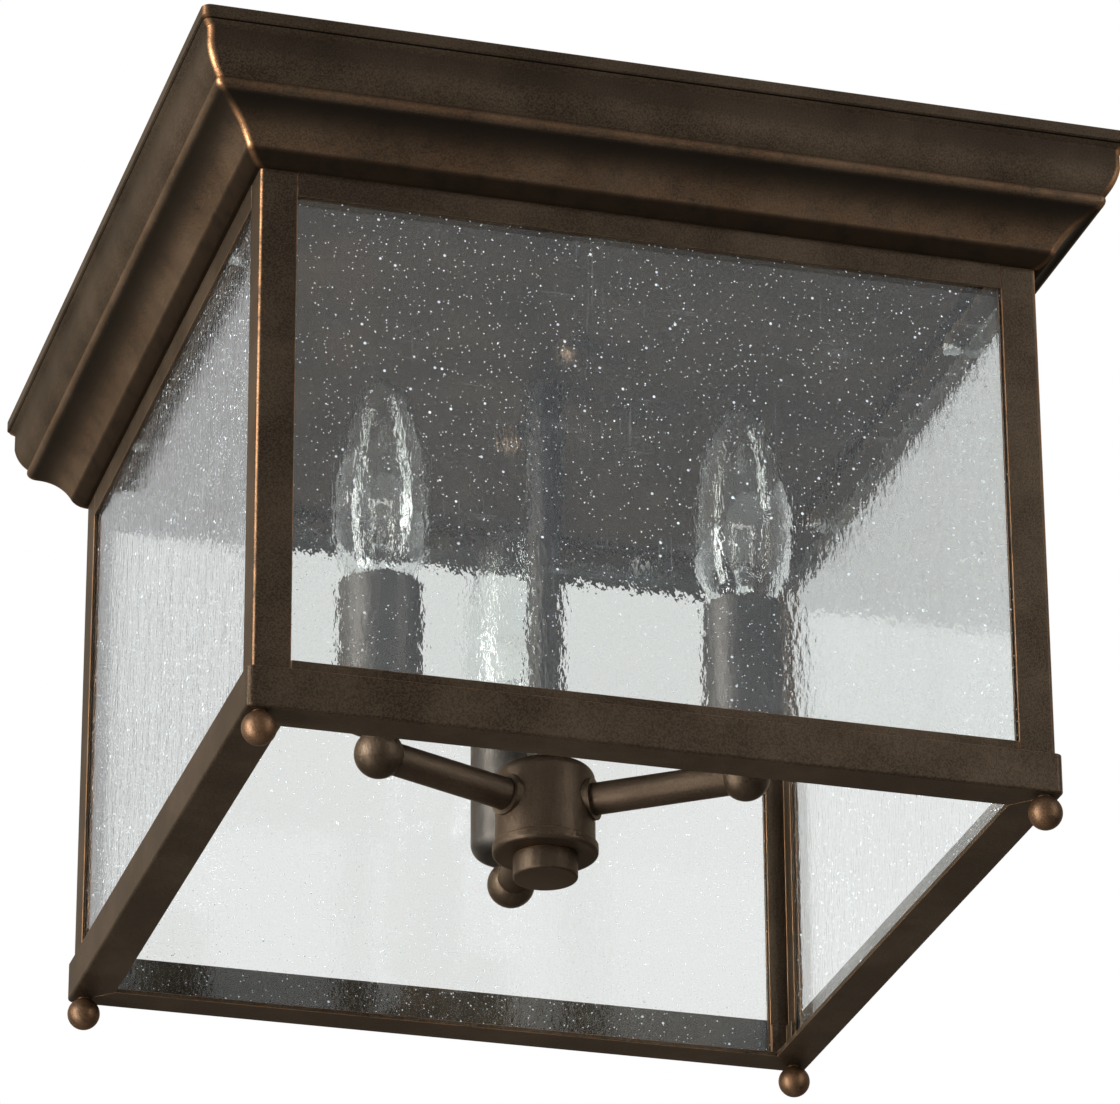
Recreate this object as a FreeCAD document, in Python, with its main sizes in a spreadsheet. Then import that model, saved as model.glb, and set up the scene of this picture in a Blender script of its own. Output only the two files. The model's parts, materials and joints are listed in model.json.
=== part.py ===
import FreeCAD, Part
import math
import os

import Sketcher

# A square porch lantern that hangs flush under a ceiling: a moulded canopy, a glazed cage that is
# open below, and a cluster of three candle lamps on a stem. The ceiling plane is z = 0, the object
# hangs below it, and the stem stands on the Z axis. Its front faces -Y.

# Lengths in millimetres below this are taken as nothing.
TINY = 1e-6

doc = FreeCAD.newDocument("porch_ceiling_lantern")
sheet = doc.addObject("Spreadsheet::Sheet", "Sizes")

# Driving dimensions, in millimetres and degrees: alias, value, meaning.
DIMENSIONS = [
    ("overrun", 2.0, "how far a cutting tool runs past the face it opens"),
    ("slip", 0.1, "clearance between parts that slide together"),
    ("thread_gap", 0.05, "radial clearance of a part that unscrews"),
    ("canopy_width", 304.8, "side of the canopy at the ceiling"),
    ("canopy_sheet", 1.2, "canopy sheet"),
    ("lip_height", 4.2, "canopy's top lip"),
    ("chamfer_width", 2.4, "slope under the lip, how far it steps in"),
    ("chamfer_height", 2.0, "that slope"),
    ("fascia_height", 5.8, "fascia"),
    ("ovolo_width", 4.2, "ovolo, how far it steps in"),
    ("ovolo_height", 9.0, "ovolo"),
    ("ovolo_radius", 17.0, "ovolo's arc"),
    ("listel_width", 1.2, "listel, how far it steps in"),
    ("listel_height", 3.4, "listel"),
    ("step_width", 2.0, "step above the cove"),
    ("step_height", 1.0, "that step"),
    ("cove_width", 9.6, "cove, how far it steps in"),
    ("cove_height", 10.8, "cove"),
    ("cove_radius", 24.0, "cove's arc"),
    ("bead_width", 4.6, "rounded foot, how far it steps in"),
    ("bead_height", 4.8, "rounded foot"),
    ("bead_radius", 8.0, "arc of the rounded foot"),
    ("flange_beyond", 3.5, "canopy's flange, past the top rails' inner edge"),
    ("ceiling_sheet", 1.2, "ceiling plate inside the cage"),
    ("ceiling_gap", 2.4, "ceiling plate's edge to the foot of the canopy wall"),
    ("cage_setback", 0.9, "cage's face, in from the canopy's foot"),
    ("post_leg", 12.0, "leg of the corner posts"),
    ("cage_sheet", 1.2, "posts, rails and sills"),
    ("post_round", 1.5, "outer corner of a post"),
    ("rail_ledge", 12.0, "top rail's width under the canopy"),
    ("top_rail_depth", 8.4, "top rail's face below the canopy"),
    ("frame_drop", 223.3, "ceiling to the underside of the bottom frame"),
    ("frame_depth", 13.1, "bottom frame's upright face"),
    ("frame_sheet", 1.6, "bottom frame's wall"),
    ("frame_round", 2.5, "corners of the bottom frame in plan"),
    ("fold_round", 1.0, "lower outer fold of the bottom frame"),
    ("sill_show", 3.6, "sill bar's face above the bottom frame"),
    ("glass_thickness", 3.0, "panes"),
    ("glass_top_gap", 0.3, "pane's top edge to the top rail"),
    ("strip_sheet", 1.0, "inner corner strips"),
    ("block_margin", 1.7, "tapped corner block, back from the edge of the posts"),
    ("block_height", 2.5, "that block"),
    ("bracket_sheet", 1.2, "upstand of a corner bracket"),
    ("bracket_height", 12.0, "upstand above the lip"),
    ("finial_diameter", 10.8, "ball finials"),
    ("finial_inset", 1.9, "finial's axis, in from the block's outer side"),
    ("finial_flat", 0.2, "flat where the ball meets the frame"),
    ("finial_shank", 1.25, "radius of the finial's threaded shank"),
    ("finial_spare", 0.2, "thread of the block left above the shank"),
    ("screw_radius", 1.5, "cage screws"),
    ("screw_head", 3.0, "radius of a cage screw's head"),
    ("screw_head_height", 1.8, "cage screw's head"),
    ("screw_clear", 0.9, "screw's head to the panes"),
    ("screw_spread", 70.0, "cage screws, each side of the middle"),
    ("screw_end", 2.0, "screw's end above the ceiling plate"),
    ("stem_radius", 5.75, "stem tube"),
    ("stem_bore", 4.8, "inside of the stem tube"),
    ("nipple_radius", 4.75, "threaded nipple at the top of the stem"),
    ("nipple_bore", 3.4, "inside of that nipple"),
    ("nipple_above", 3.2, "nipple's end above the lock nut"),
    ("nipple_below", 17.0, "nipple's length inside the stem"),
    ("locknut_flats", 14.0, "lock nut, across its flats"),
    ("locknut_height", 3.2, "lock nut"),
    ("arm_drop", 190.0, "ceiling to the axis of the arms"),
    ("arm_reach", 68.3, "stem to the axis of a candle"),
    ("arm_turn", -156.4, "direction of the first arm"),
    ("arm_radius", 5.3, "arms"),
    ("arm_bore", 3.6, "inside of the arms"),
    ("arm_inset", 3.6, "arm's end inside the hub's wall"),
    ("arm_socket", 2.6, "arm's end inside its ball"),
    ("ball_radius", 7.95, "ball at the end of each arm"),
    ("ball_wall", 1.95, "that ball's wall"),
    ("ball_cut", 0.95, "cut off the ball's top for the cup's neck"),
    ("hub_radius", 16.2, "hub"),
    ("hub_hollow", 12.0, "inside of the hub"),
    ("hub_above", 12.7, "hub's top above the arms"),
    ("hub_below", 13.8, "hub's foot below the arms"),
    ("hub_roof", 5.0, "hub's top wall"),
    ("hub_shoulder", 4.0, "rounded top edge of the hub"),
    ("collar_radius", 6.9, "raised collar round each arm at the hub"),
    ("collar_height", 0.9, "collar, out from the hub's side"),
    ("cap_radius", 17.2, "flange of the hub's cap"),
    ("cap_height", 3.7, "that flange"),
    ("cap_round", 1.4, "lower edge of the flange"),
    ("cap_spigot", 4.0, "cap's spigot inside the hub"),
    ("knob_radius", 10.5, "knob under the hub"),
    ("knob_height", 7.8, "knob"),
    ("knob_round", 0.8, "lower edge of the knob"),
    ("knob_thread", 4.8, "radius of the knob's thread in the cap"),
    ("knob_shank", 6.5, "length of the knob's shank"),
    ("socket_nipple_radius", 3.6, "nipple between ball and cup"),
    ("socket_nipple_bore", 2.6, "inside of that nipple"),
    ("nipple_in_ball", 2.3, "that nipple, down into the ball"),
    ("nipple_in_socket", 5.2, "that nipple, up into the socket"),
    ("nipple_spare", 0.5, "socket's thread above the nipple"),
    ("cup_neck", 2.2, "ball to the underside of the cup"),
    ("cup_height", 48.8, "candle cup"),
    ("cup_radius", 13.5, "candle cup"),
    ("cup_wall", 1.2, "cup's wall"),
    ("cup_floor", 1.6, "cup's floor"),
    ("cup_round", 5.0, "cup's rounded foot"),
    ("socket_radius", 9.0, "lamp socket"),
    ("socket_foot_radius", 6.6, "foot of the socket"),
    ("socket_shoulder", 9.0, "height of that foot"),
    ("socket_recess", 2.5, "cup's rim to the socket's rim"),
    ("shell_depth", 18.5, "depth of the socket's screw shell"),
    ("shell_floor", 7.0, "insulation under the screw shell"),
    ("terminal_radius", 3.0, "terminal chamber"),
    ("base_radius", 5.95, "bulb's screw base"),
    ("base_gap", 0.08, "radial clearance of the base in its shell"),
    ("base_clear", 0.2, "base's contact to the bottom of the shell"),
    ("base_taper", 3.8, "contact to the foot of the screw thread"),
    ("base_show", 0.3, "top of the base above the socket's rim"),
    ("contact_radius", 2.2, "contact at the foot of the base"),
    ("bulb_wall", 0.8, "bulb's glass"),
    ("neck_inset", 0.05, "neck of the glass, in from the base's side"),
    ("neck_curve", 28.7, "arc from the neck to the shoulder"),
    ("shoulder_radius", 13.9, "bulb at its shoulder"),
    ("shoulder_height", 12.9, "shoulder above the base"),
    ("shoulder_curve", 64.0, "arc from the shoulder to the belly"),
    ("bulb_radius", 16.1, "bulb at its belly"),
    ("belly_height", 29.9, "belly above the base"),
    ("belly_curve", 97.7, "arc from the belly to the waist"),
    ("waist_radius", 9.6, "bulb where its tip starts"),
    ("waist_height", 65.2, "start of the tip above the base"),
    ("tip_curve", 25.0, "arc of the tip"),
    ("tip_radius", 1.4, "blunt end of the tip"),
    ("tip_height", 76.2, "bulb above the base"),
    ("lead_radius", 0.3, "lead wires and filament"),
    ("lead_spread", 3.0, "lead wires, each side of the bulb's axis"),
    ("lead_height", 32.2, "filament above the base"),
    ("wire_radius", 1.1, "lamp wires"),
    ("wire_offset", 1.6, "lamp wires, out from the stem's axis"),
    ("wire_ball_bend", 4.6, "bend of a wire inside a ball"),
    ("wire_hub_bend", 8.0, "bend of a wire inside the hub"),
    ("splice_gap", 2.2, "stem nipple to the wire connector"),
    ("connector_foot_radius", 7.0, "wide end of the wire connector"),
    ("connector_top_radius", 5.0, "narrow end of the wire connector"),
    ("connector_height", 21.0, "wire connector"),
    ("strap_length", 108.0, "mounting strap"),
    ("strap_width", 19.0, "strap's width"),
    ("strap_sheet", 2.0, "strap's thickness"),
    ("slot_spacing", 88.9, "slots for the outlet box's screws"),
    ("slot_length", 12.0, "slot, end to end"),
    ("slot_half_width", 2.5, "half of a slot's width"),
    ("strap_bore", 5.1, "hole in the middle of the strap"),
    ("stud_spacing", 69.85, "studs that the canopy hangs on"),
    ("stud_radius", 2.0, "studs"),
    ("stud_end", 6.2, "stud's end below the ceiling plate"),
    ("stud_hole", 2.6, "studs' holes in the ceiling plate"),
    ("cap_nut_radius", 5.6, "cap nuts inside the cage"),
    ("cap_nut_skirt", 4.0, "straight part of a cap nut"),
    ("cap_nut_height", 9.4, "cap nut over its dome"),
    ("cap_nut_spare", 0.4, "cap nut's thread past the stud's end"),
    ("ground_radius", 1.8, "ground screw"),
    ("ground_head", 3.6, "ground screw's head"),
    ("ground_head_height", 2.4, "that head"),
    ("ground_place", 17.0, "ground screw, from the middle of the strap"),
]

VALUES = {}
for row, (alias, value, meaning) in enumerate(DIMENSIONS, start=1):
    sheet.set(f"A{row}", meaning)
    sheet.set(f"B{row}", str(value))
    sheet.setAlias(f"B{row}", alias)
    VALUES[alias] = value
doc.recompute()


class Size:
    """A number of millimetres or degrees together with the formula that gives it."""

    def __init__(self, value, formula):
        self.value = value
        self.formula = formula

    def __add__(self, other):
        other = size(other)
        return Size(self.value + other.value, f"({self.formula} + {other.formula})")

    def __sub__(self, other):
        other = size(other)
        return Size(self.value - other.value, f"({self.formula} - {other.formula})")

    def __mul__(self, factor):
        return Size(self.value * factor, f"({self.formula} * {factor})")

    def __truediv__(self, factor):
        return Size(self.value / factor, f"({self.formula} / {factor})")

    def __neg__(self):
        return Size(-self.value, f"(0 - {self.formula})")


def size(item):
    """Turns an alias or a plain number into a Size."""
    if isinstance(item, Size):
        return item
    if isinstance(item, str):
        return Size(VALUES[item], f"Sizes.{item}")
    return Size(float(item), f"({float(item)})")


nodes = []


def node(item, label):
    """Names a finished sub-part and keeps it for export."""
    item.Label = label
    nodes.append(item)
    return item


def place(item, x=0, y=0, z=0, turn=0):
    """Binds where an object stands and how far it is turned about the vertical."""
    x, y, z, turn = size(x), size(y), size(z), size(turn)
    upright = FreeCAD.Vector(0, 0, 1)
    corner = FreeCAD.Vector(x.value, y.value, z.value)
    item.Placement = FreeCAD.Placement(corner, FreeCAD.Rotation(upright, turn.value))
    item.setExpression("Placement.Base.x", x.formula)
    item.setExpression("Placement.Base.y", y.formula)
    item.setExpression("Placement.Base.z", z.formula)
    if turn.value:
        item.setExpression("Placement.Rotation.Angle", turn.formula)
    return item


def box(x, y, z):
    """A block between two values on each axis, each given as a pair."""
    item = doc.addObject("Part::Box", "block")
    low = [size(pair[0]) for pair in (x, y, z)]
    for name, start, pair in zip(("Length", "Width", "Height"), low, (x, y, z)):
        item.setExpression(name, (size(pair[1]) - start).formula)
    return place(item, *low)


def rod(radius, bottom, top, x=0, y=0):
    """An upright cylinder between two heights."""
    item = doc.addObject("Part::Cylinder", "rod")
    item.setExpression("Radius", size(radius).formula)
    item.setExpression("Height", (size(top) - bottom).formula)
    return place(item, x, y, bottom)


def radial_rod(radius, start, end, height, turn):
    """A cylinder that lies along the direction of an arm, between two reaches."""
    item = doc.addObject("Part::Cylinder", "radial_rod")
    item.setExpression("Radius", size(radius).formula)
    item.setExpression("Height", (size(end) - start).formula)
    start, height, turn = size(start), size(height), size(turn)
    item.Placement = FreeCAD.Placement(
        FreeCAD.Vector(0, 0, 0), FreeCAD.Rotation(turn.value, 90, 0))
    item.setExpression("Placement.Base.x", f"{start.formula} * cos({turn.formula})")
    item.setExpression("Placement.Base.y", f"{start.formula} * sin({turn.formula})")
    item.setExpression("Placement.Base.z", height.formula)
    return item


def fuse(*items):
    item = doc.addObject("Part::MultiFuse", "union")
    item.Shapes = list(items)
    item.Refine = True
    return item


def cut(base, *tools):
    """The base without its tools."""
    item = doc.addObject("Part::Cut", "cut")
    item.Base = base
    item.Tool = fuse(*tools) if len(tools) > 1 else tools[0]
    return item


def common(base, tool):
    item = doc.addObject("Part::Common", "common")
    item.Base = base
    item.Tool = tool
    return item


def group(*items):
    """Separate solids that are alike and share one node."""
    item = doc.addObject("Part::Compound", "group")
    item.Links = list(items)
    return item


def turned_about_stem(item, turn):
    """The item turned about the stem's axis, wherever it stands."""
    return place(group(item), turn=turn)


def arc_middle(start, end, radius):
    """The middle of an arc; a positive radius bulges to the right of the way it is drawn."""
    half = (end - start) * 0.5
    reach = half.Length
    rise = abs(radius) - math.sqrt(max(radius * radius - reach * reach, 0.0))
    side = FreeCAD.Vector(half.y, -half.x, 0).normalize()
    return start + half + side * math.copysign(rise, radius)


def outline(body, role, points):
    """A closed sketch through the points (x, y) or (x, y, radius of the arc that leaves it)."""
    sketch = body.newObject("Sketcher::SketchObject", "outline")
    plane = [item for item in body.Origin.OriginFeatures if item.Role == role][0]
    sketch.AttachmentSupport = [(plane, "")]
    sketch.MapMode = "FlatFace"
    corners = [FreeCAD.Vector(size(point[0]).value, size(point[1]).value, 0) for point in points]
    count = len(points)
    for index, point in enumerate(points):
        start = corners[index]
        end = corners[(index + 1) % count]
        if len(point) == 3:
            middle = arc_middle(start, end, size(point[2]).value)
            sketch.addGeometry(Part.Arc(start, middle, end), False)
        else:
            sketch.addGeometry(Part.LineSegment(start, end), False)
    # An arc drawn through three points may run backwards, so its ends are looked up.
    ends = []
    for index in range(count):
        first = sketch.getPoint(index, 1)
        forward = first.distanceToPoint(corners[index]) < TINY
        ends.append((1, 2) if forward else (2, 1))
    for index in range(count):
        after = (index + 1) % count
        sketch.addConstraint(
            Sketcher.Constraint("Coincident", index, ends[index][1], after, ends[after][0]))
    for index, point in enumerate(points):
        for kind, value in (("DistanceX", point[0]), ("DistanceY", point[1])):
            value = size(value)
            number = sketch.addConstraint(
                Sketcher.Constraint(kind, -1, 1, index, ends[index][0], value.value))
            name = f"{kind}{index}"
            sketch.renameConstraint(number, name)
            sketch.setExpression(f"Constraints.{name}", value.formula)
        if len(point) == 3:
            radius = size(point[2])
            if radius.value < 0:
                radius = -radius
            number = sketch.addConstraint(Sketcher.Constraint("Radius", index, radius.value))
            name = f"radius{index}"
            sketch.renameConstraint(number, name)
            sketch.setExpression(f"Constraints.{name}", radius.formula)
    return sketch


def prism(role, points, length, centred=False):
    """A body padded from a closed outline, upwards or to both sides of its plane."""
    body = doc.addObject("PartDesign::Body", "prism")
    pad = body.newObject("PartDesign::Pad", "pad")
    pad.Profile = outline(body, role, points)
    pad.setExpression("Length", size(length).formula)
    if centred:
        pad.SideType = "Symmetric"
    return body


def turned(points, hollow=None):
    """A body turned about the vertical from points (radius, height)."""
    body = doc.addObject("PartDesign::Body", "turned")
    sketch = outline(body, "XZ_Plane", points)
    feature = body.newObject("PartDesign::Revolution", "revolution")
    feature.Profile = sketch
    feature.ReferenceAxis = (sketch, ["V_Axis"])
    feature.Angle = 360
    if hollow:
        inner = outline(body, "XZ_Plane", hollow)
        groove = body.newObject("PartDesign::Groove", "groove")
        groove.Profile = inner
        groove.ReferenceAxis = (inner, ["V_Axis"])
        groove.Angle = 360
    return body


def soften(body, radius, chosen):
    """Rounds the edges of a body that the test picks."""
    doc.recompute()
    feature = body.Tip
    edges = feature.Shape.Edges
    names = [f"Edge{index}" for index, edge in enumerate(edges, start=1) if chosen(edge)]
    fillet = body.newObject("PartDesign::Fillet", "round")
    fillet.Base = (feature, names)
    fillet.setExpression("Radius", size(radius).formula)
    return body


def rounded_square(half, radius):
    """Points of a square about the origin whose corners are rounded."""
    half, radius = size(half), size(radius)
    flat = half - radius
    return [
        (flat, -half, radius), (half, -flat), (half, flat, radius), (flat, half),
        (-flat, half, radius), (-half, flat), (-half, -flat, radius), (-flat, -half),
    ]


def angle_section(outer, leg, sheet_metal, corner=None):
    """Points of an L section in plan, in the front left corner of a square."""
    outer, leg, sheet_metal = size(outer), size(leg), size(sheet_metal)
    inner = outer - sheet_metal
    end = outer - leg
    points = [(-outer, -end), (-outer, -outer), (-end, -outer), (-end, -inner),
              (-inner, -inner), (-inner, -end)]
    if corner:
        corner = size(corner)
        points[1:2] = [(-outer, -outer + corner, corner), (-outer + corner, -outer)]
    return points


SIDES = ("front", "right", "back", "left")
CORNERS = ("front_left", "front_right", "back_right", "back_left")

# Mouldings of the canopy from the ceiling down: how far each steps in, its height and its arc,
# which is positive where it is hollow.
mouldings = [
    (0, "lip_height", None),
    ("chamfer_width", "chamfer_height", None),
    (0, "fascia_height", None),
    ("ovolo_width", "ovolo_height", -size("ovolo_radius")),
    ("listel_width", "listel_height", None),
    ("step_width", "step_height", None),
    ("cove_width", "cove_height", size("cove_radius")),
    ("bead_width", "bead_height", -size("bead_radius")),
]

# Heights and half widths that several pieces share.
overrun = size("overrun")
canopy_half = size("canopy_width") / 2
foot_half = canopy_half
canopy_foot = size(0)
for width, height, arc in mouldings:
    foot_half = foot_half - width
    canopy_foot = canopy_foot - height
flange_top = canopy_foot + "canopy_sheet"
ceiling_top = flange_top + "ceiling_sheet"
cage_half = foot_half - "cage_setback"
cage_inner = cage_half - "cage_sheet"
opening_half = cage_half - "post_leg"
ledge_half = cage_half - "rail_ledge"
rail_underside = canopy_foot - "cage_sheet"
frame_half = cage_half + "slip" + "frame_sheet"
frame_foot = -size("frame_drop")
lip_top = frame_foot + "frame_sheet"
frame_top = frame_foot + "frame_depth"
block_top = lip_top + "block_height"
glass_outer = cage_inner - "slip"
glass_inner = glass_outer - "glass_thickness"
glass_top = rail_underside - "glass_top_gap"
glass_foot = block_top + "slip"
strip_outer = glass_inner - "slip"
strip_inner = strip_outer - "strip_sheet"
bracket_outer = strip_inner - "slip"
finial_place = glass_outer - "finial_inset"
arm_height = -size("arm_drop")
screw_place = glass_inner - "screw_clear" - "screw_head"
stud_place = size("stud_spacing") / 2
arm_turns = [size("arm_turn") + 120 * index for index in range(3)]


# ---------------------------------------------------------------- canopy


def canopy_section(inset, roof, floor):
    """Outline across the canopy, down one side's mouldings and up the other's."""
    edge = canopy_half - inset
    level = size(floor)
    down = [(edge, size(roof))]
    for width, height, arc in mouldings:
        edge = edge - width
        level = level - height
        down.append((edge, level))
    points = []
    for corner, moulding in zip(down, mouldings):
        points.append(corner if moulding[2] is None else corner + (moulding[2],))
    points.append(down[-1])
    for (edge, level), moulding in zip(reversed(down), reversed(mouldings)):
        corner = (-edge, level)
        points.append(corner if moulding[2] is None else corner + (moulding[2],))
    points.append((-down[0][0], down[0][1]))
    return points


def moulded_square(inset, roof, floor):
    """The square whose four sides all have the moulding, so that its corners are mitred."""
    points = canopy_section(inset, roof, floor)
    along = prism("XZ_Plane", points, "canopy_width", centred=True)
    across = prism("YZ_Plane", points, "canopy_width", centred=True)
    return common(along, across)


# Pressed canopy pan, open towards the ceiling, with a flange for the cage round its foot.
flange_half = ledge_half - "flange_beyond"
pan_tools = [
    moulded_square("canopy_sheet", overrun, "canopy_sheet"),
    box((-flange_half, flange_half), (-flange_half, flange_half),
        (canopy_foot - overrun, ceiling_top)),
]
screw_places = []
for sign in (-1, 1):
    for spread in (-size("screw_spread"), size("screw_spread")):
        screw_places.append((spread, screw_place * sign))
        screw_places.append((screw_place * sign, spread))
screw_hole = size("screw_radius") + "slip"
pan_holes = [rod(screw_hole, canopy_foot - overrun, ceiling_top, x, y) for x, y in screw_places]
pan = moulded_square(0, 0, 0)
node(cut(pan, *pan_tools, *pan_holes), "canopy_pan")

# Flat plate that closes the canopy over the lamps and carries the stem.
plate_half = foot_half - "ceiling_gap"
plate = box((-plate_half, plate_half), (-plate_half, plate_half), (flange_top, ceiling_top))
plate_tools = [rod(screw_hole, flange_top - overrun, ceiling_top + overrun, x, y)
               for x, y in screw_places]
plate_tools.append(rod(size("nipple_radius") + "slip", flange_top - overrun, ceiling_top + overrun))
for sign in (-1, 1):
    plate_tools.append(rod("stud_hole", flange_top - overrun, ceiling_top + overrun,
                           0, stud_place * sign))
node(cut(plate, *plate_tools), "ceiling_plate")

# Eight pan-head screws that hold the cage and the ceiling plate to the canopy's flange.
screws = []
for x, y in screw_places:
    shank = rod("screw_radius", rail_underside, ceiling_top + "screw_end", x, y)
    head = rod("screw_head", rail_underside - "screw_head_height", rail_underside, x, y)
    screws.append(fuse(shank, head))
node(group(*screws), "cage_screws")

# Slotted mounting strap, which lies against the ceiling across the outlet box.
strap_foot = -size("strap_sheet")
strap_half = size("strap_length") / 2
slot_place = size("slot_spacing") / 2
slot_straight = size("slot_length") / 2 - "slot_half_width"
strap_tools = [rod("strap_bore", strap_foot - overrun, overrun)]
for sign in (-1, 1):
    middle = slot_place * sign
    for end in (-1, 1):
        strap_tools.append(rod("slot_half_width", strap_foot - overrun, overrun,
                               0, middle + slot_straight * end))
    strap_tools.append(box((-size("slot_half_width"), "slot_half_width"),
                           (middle - slot_straight, middle + slot_straight),
                           (strap_foot - overrun, overrun)))
    strap_tools.append(rod(size("stud_radius") + "slip", strap_foot - overrun, overrun,
                           0, stud_place * sign))
strap_tools.append(rod(size("ground_radius") + "slip", strap_foot - overrun, overrun,
                       0, "ground_place"))
strap = box((-size("strap_width") / 2, size("strap_width") / 2), (-strap_half, strap_half),
            (strap_foot, 0))
node(cut(strap, *strap_tools), "mounting_strap")

# Two threaded studs that hang from the strap and pass through the ceiling plate.
stud_foot = flange_top - "stud_end"
studs = [rod("stud_radius", stud_foot, 0, 0, stud_place * sign) for sign in (-1, 1)]
node(group(*studs), "strap_studs")

# Domed cap nuts that draw the canopy up against the ceiling from inside the cage.
nut_radius = size("cap_nut_radius")
nut_thread = size("stud_radius") + "thread_gap"
for name, sign in (("front", -1), ("back", 1)):
    thread_end = stud_foot - "cap_nut_spare"
    nut = turned(
        [(0, flange_top), (0, flange_top - "cap_nut_height", nut_radius),
         (nut_radius, flange_top - "cap_nut_skirt"), (nut_radius, flange_top)],
        [(0, flange_top), (0, thread_end), (nut_thread, thread_end), (nut_thread, flange_top)])
    node(place(nut, 0, stud_place * sign), f"cap_nut_{name}")

# Earth terminal screw on the strap.
ground = fuse(
    rod("ground_radius", strap_foot, 0, 0, "ground_place"),
    rod("ground_head", strap_foot - "ground_head_height", strap_foot, 0, "ground_place"))
node(ground, "ground_screw")


# ---------------------------------------------------------------- cage

quarter = {name: index * 90 for index, name in enumerate(SIDES)}
corner_turn = {name: index * 90 for index, name in enumerate(CORNERS)}

# Corner posts: folded angles that stand on the bottom frame's lip.
for name in CORNERS:
    post = prism("XY_Plane", angle_section(cage_half, "post_leg", "cage_sheet", "post_round"),
                 canopy_foot - lip_top)
    node(place(post, 0, 0, lip_top, corner_turn[name]), f"corner_post_{name}")

# Top rails: angles between the posts, screwed up to the canopy's flange. A ledge that is wider
# than a post's leg is mitred.
for name in SIDES:
    rail_foot = canopy_foot - "top_rail_depth"
    section = [
        (-cage_half, rail_foot), (-cage_inner, rail_foot), (-cage_inner, rail_underside),
        (-ledge_half, rail_underside), (-ledge_half, canopy_foot), (-cage_half, canopy_foot),
    ]
    rail = prism("YZ_Plane", section, opening_half * 2, centred=True)
    wedge = prism("XY_Plane", [(0, 0), (-cage_half, -cage_half), (cage_half, -cage_half)],
                  canopy_foot - rail_foot)
    rail = common(rail, place(wedge, 0, 0, rail_foot))
    holes = [rod(screw_hole, rail_underside - overrun, canopy_foot + overrun,
                 size("screw_spread") * sign, -screw_place) for sign in (-1, 1)]
    node(place(cut(rail, *holes), turn=quarter[name]), f"top_rail_{name}")

# Sill bars between the feet of the posts, flush with them, behind the bottom frame.
sills = []
for name in SIDES:
    sill = box((-opening_half, opening_half), (-cage_half, -cage_inner),
               (lip_top, frame_top + "sill_show"))
    sills.append(turned_about_stem(sill, quarter[name]))
node(group(*sills), "sill_bars")

# Inner strips that hold the panes' upright edges, in line with the edges of the posts.
strip_leg = strip_outer - opening_half
strip_height = glass_top - block_top
for name in CORNERS:
    strip = prism("XY_Plane", angle_section(strip_outer, strip_leg, "strip_sheet"), strip_height)
    node(place(strip, 0, 0, block_top, corner_turn[name]), f"corner_strip_{name}")

# Corner brackets: a tapped block under the panes with an upstand in front of the strip's foot.
brackets = []
block_inner = opening_half + "block_margin"
bracket_leg = bracket_outer - opening_half
for name in CORNERS:
    block = box((-glass_outer, -block_inner), (-glass_outer, -block_inner), (lip_top, block_top))
    upstand = prism("XY_Plane", angle_section(bracket_outer, bracket_leg, "bracket_sheet"),
                    "bracket_height")
    place(upstand, 0, 0, lip_top)
    thread = rod(size("finial_shank") + "thread_gap", lip_top - overrun, block_top + overrun,
                 -finial_place, -finial_place)
    brackets.append(place(cut(fuse(block, upstand), thread), turn=corner_turn[name]))
node(group(*brackets), "corner_brackets")

# Bottom frame: four angles mitred and brazed at the corners, open in the middle.
shell = prism("XY_Plane", rounded_square(frame_half, "frame_round"), "frame_depth")
soften(shell, "fold_round", lambda edge: edge.BoundBox.ZMax < TINY)
place(shell, 0, 0, frame_foot)
frame_inner = frame_half - "frame_sheet"
frame_holes = [rod(size("finial_shank") + "slip", frame_foot - overrun, lip_top + overrun,
                   finial_place * x, finial_place * y) for x in (-1, 1) for y in (-1, 1)]
ring = cut(
    shell,
    box((-frame_inner, frame_inner), (-frame_inner, frame_inner), (lip_top, frame_top + overrun)),
    box((-opening_half, opening_half), (-opening_half, opening_half),
        (frame_foot - overrun, frame_top + overrun)),
    *frame_holes)
for name in SIDES:
    reach = frame_half + overrun
    wedge = prism("XY_Plane", [(0, 0), (-reach, -reach), (reach, -reach)],
                  size("frame_depth") + overrun * 2)
    place(wedge, 0, 0, frame_foot - overrun, quarter[name])
    node(common(ring, wedge), f"frame_rail_{name}")

# Panes of seeded glass: the front and back ones run from post to post, the others between them.
pane_half = {"front": glass_outer, "back": glass_outer}
pane_half["left"] = glass_inner - "slip"
pane_half["right"] = pane_half["left"]
for name in SIDES:
    half = pane_half[name]
    pane = box((-half, half), (-glass_outer, -glass_inner), (glass_foot, glass_top))
    node(turned_about_stem(pane, quarter[name]), f"glass_{name}")

# Ball finials that screw up through the frame's lip into the corner brackets.
ball_half = size("finial_diameter") / 2
finial_centre = frame_foot - ball_half + "finial_flat"
for name in CORNERS:
    ball = doc.addObject("Part::Sphere", "ball")
    ball.setExpression("Radius", ball_half.formula)
    place(ball, -finial_place, -finial_place, finial_centre)
    above = box((-finial_place - ball_half, -finial_place + ball_half),
                (-finial_place - ball_half, -finial_place + ball_half),
                (frame_foot, frame_foot + ball_half))
    shank = rod("finial_shank", finial_centre, block_top - "finial_spare",
                -finial_place, -finial_place)
    node(place(fuse(cut(ball, above), shank), turn=corner_turn[name]), f"ball_finial_{name}")


# ---------------------------------------------------------------- stem and hub

nipple_top = ceiling_top + "locknut_height" + "nipple_above"
nipple_foot = flange_top - "nipple_below"
hub_top = arm_height + "hub_above"
hub_foot = arm_height - "hub_below"
hub_ceiling = hub_top - "hub_roof"

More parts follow.
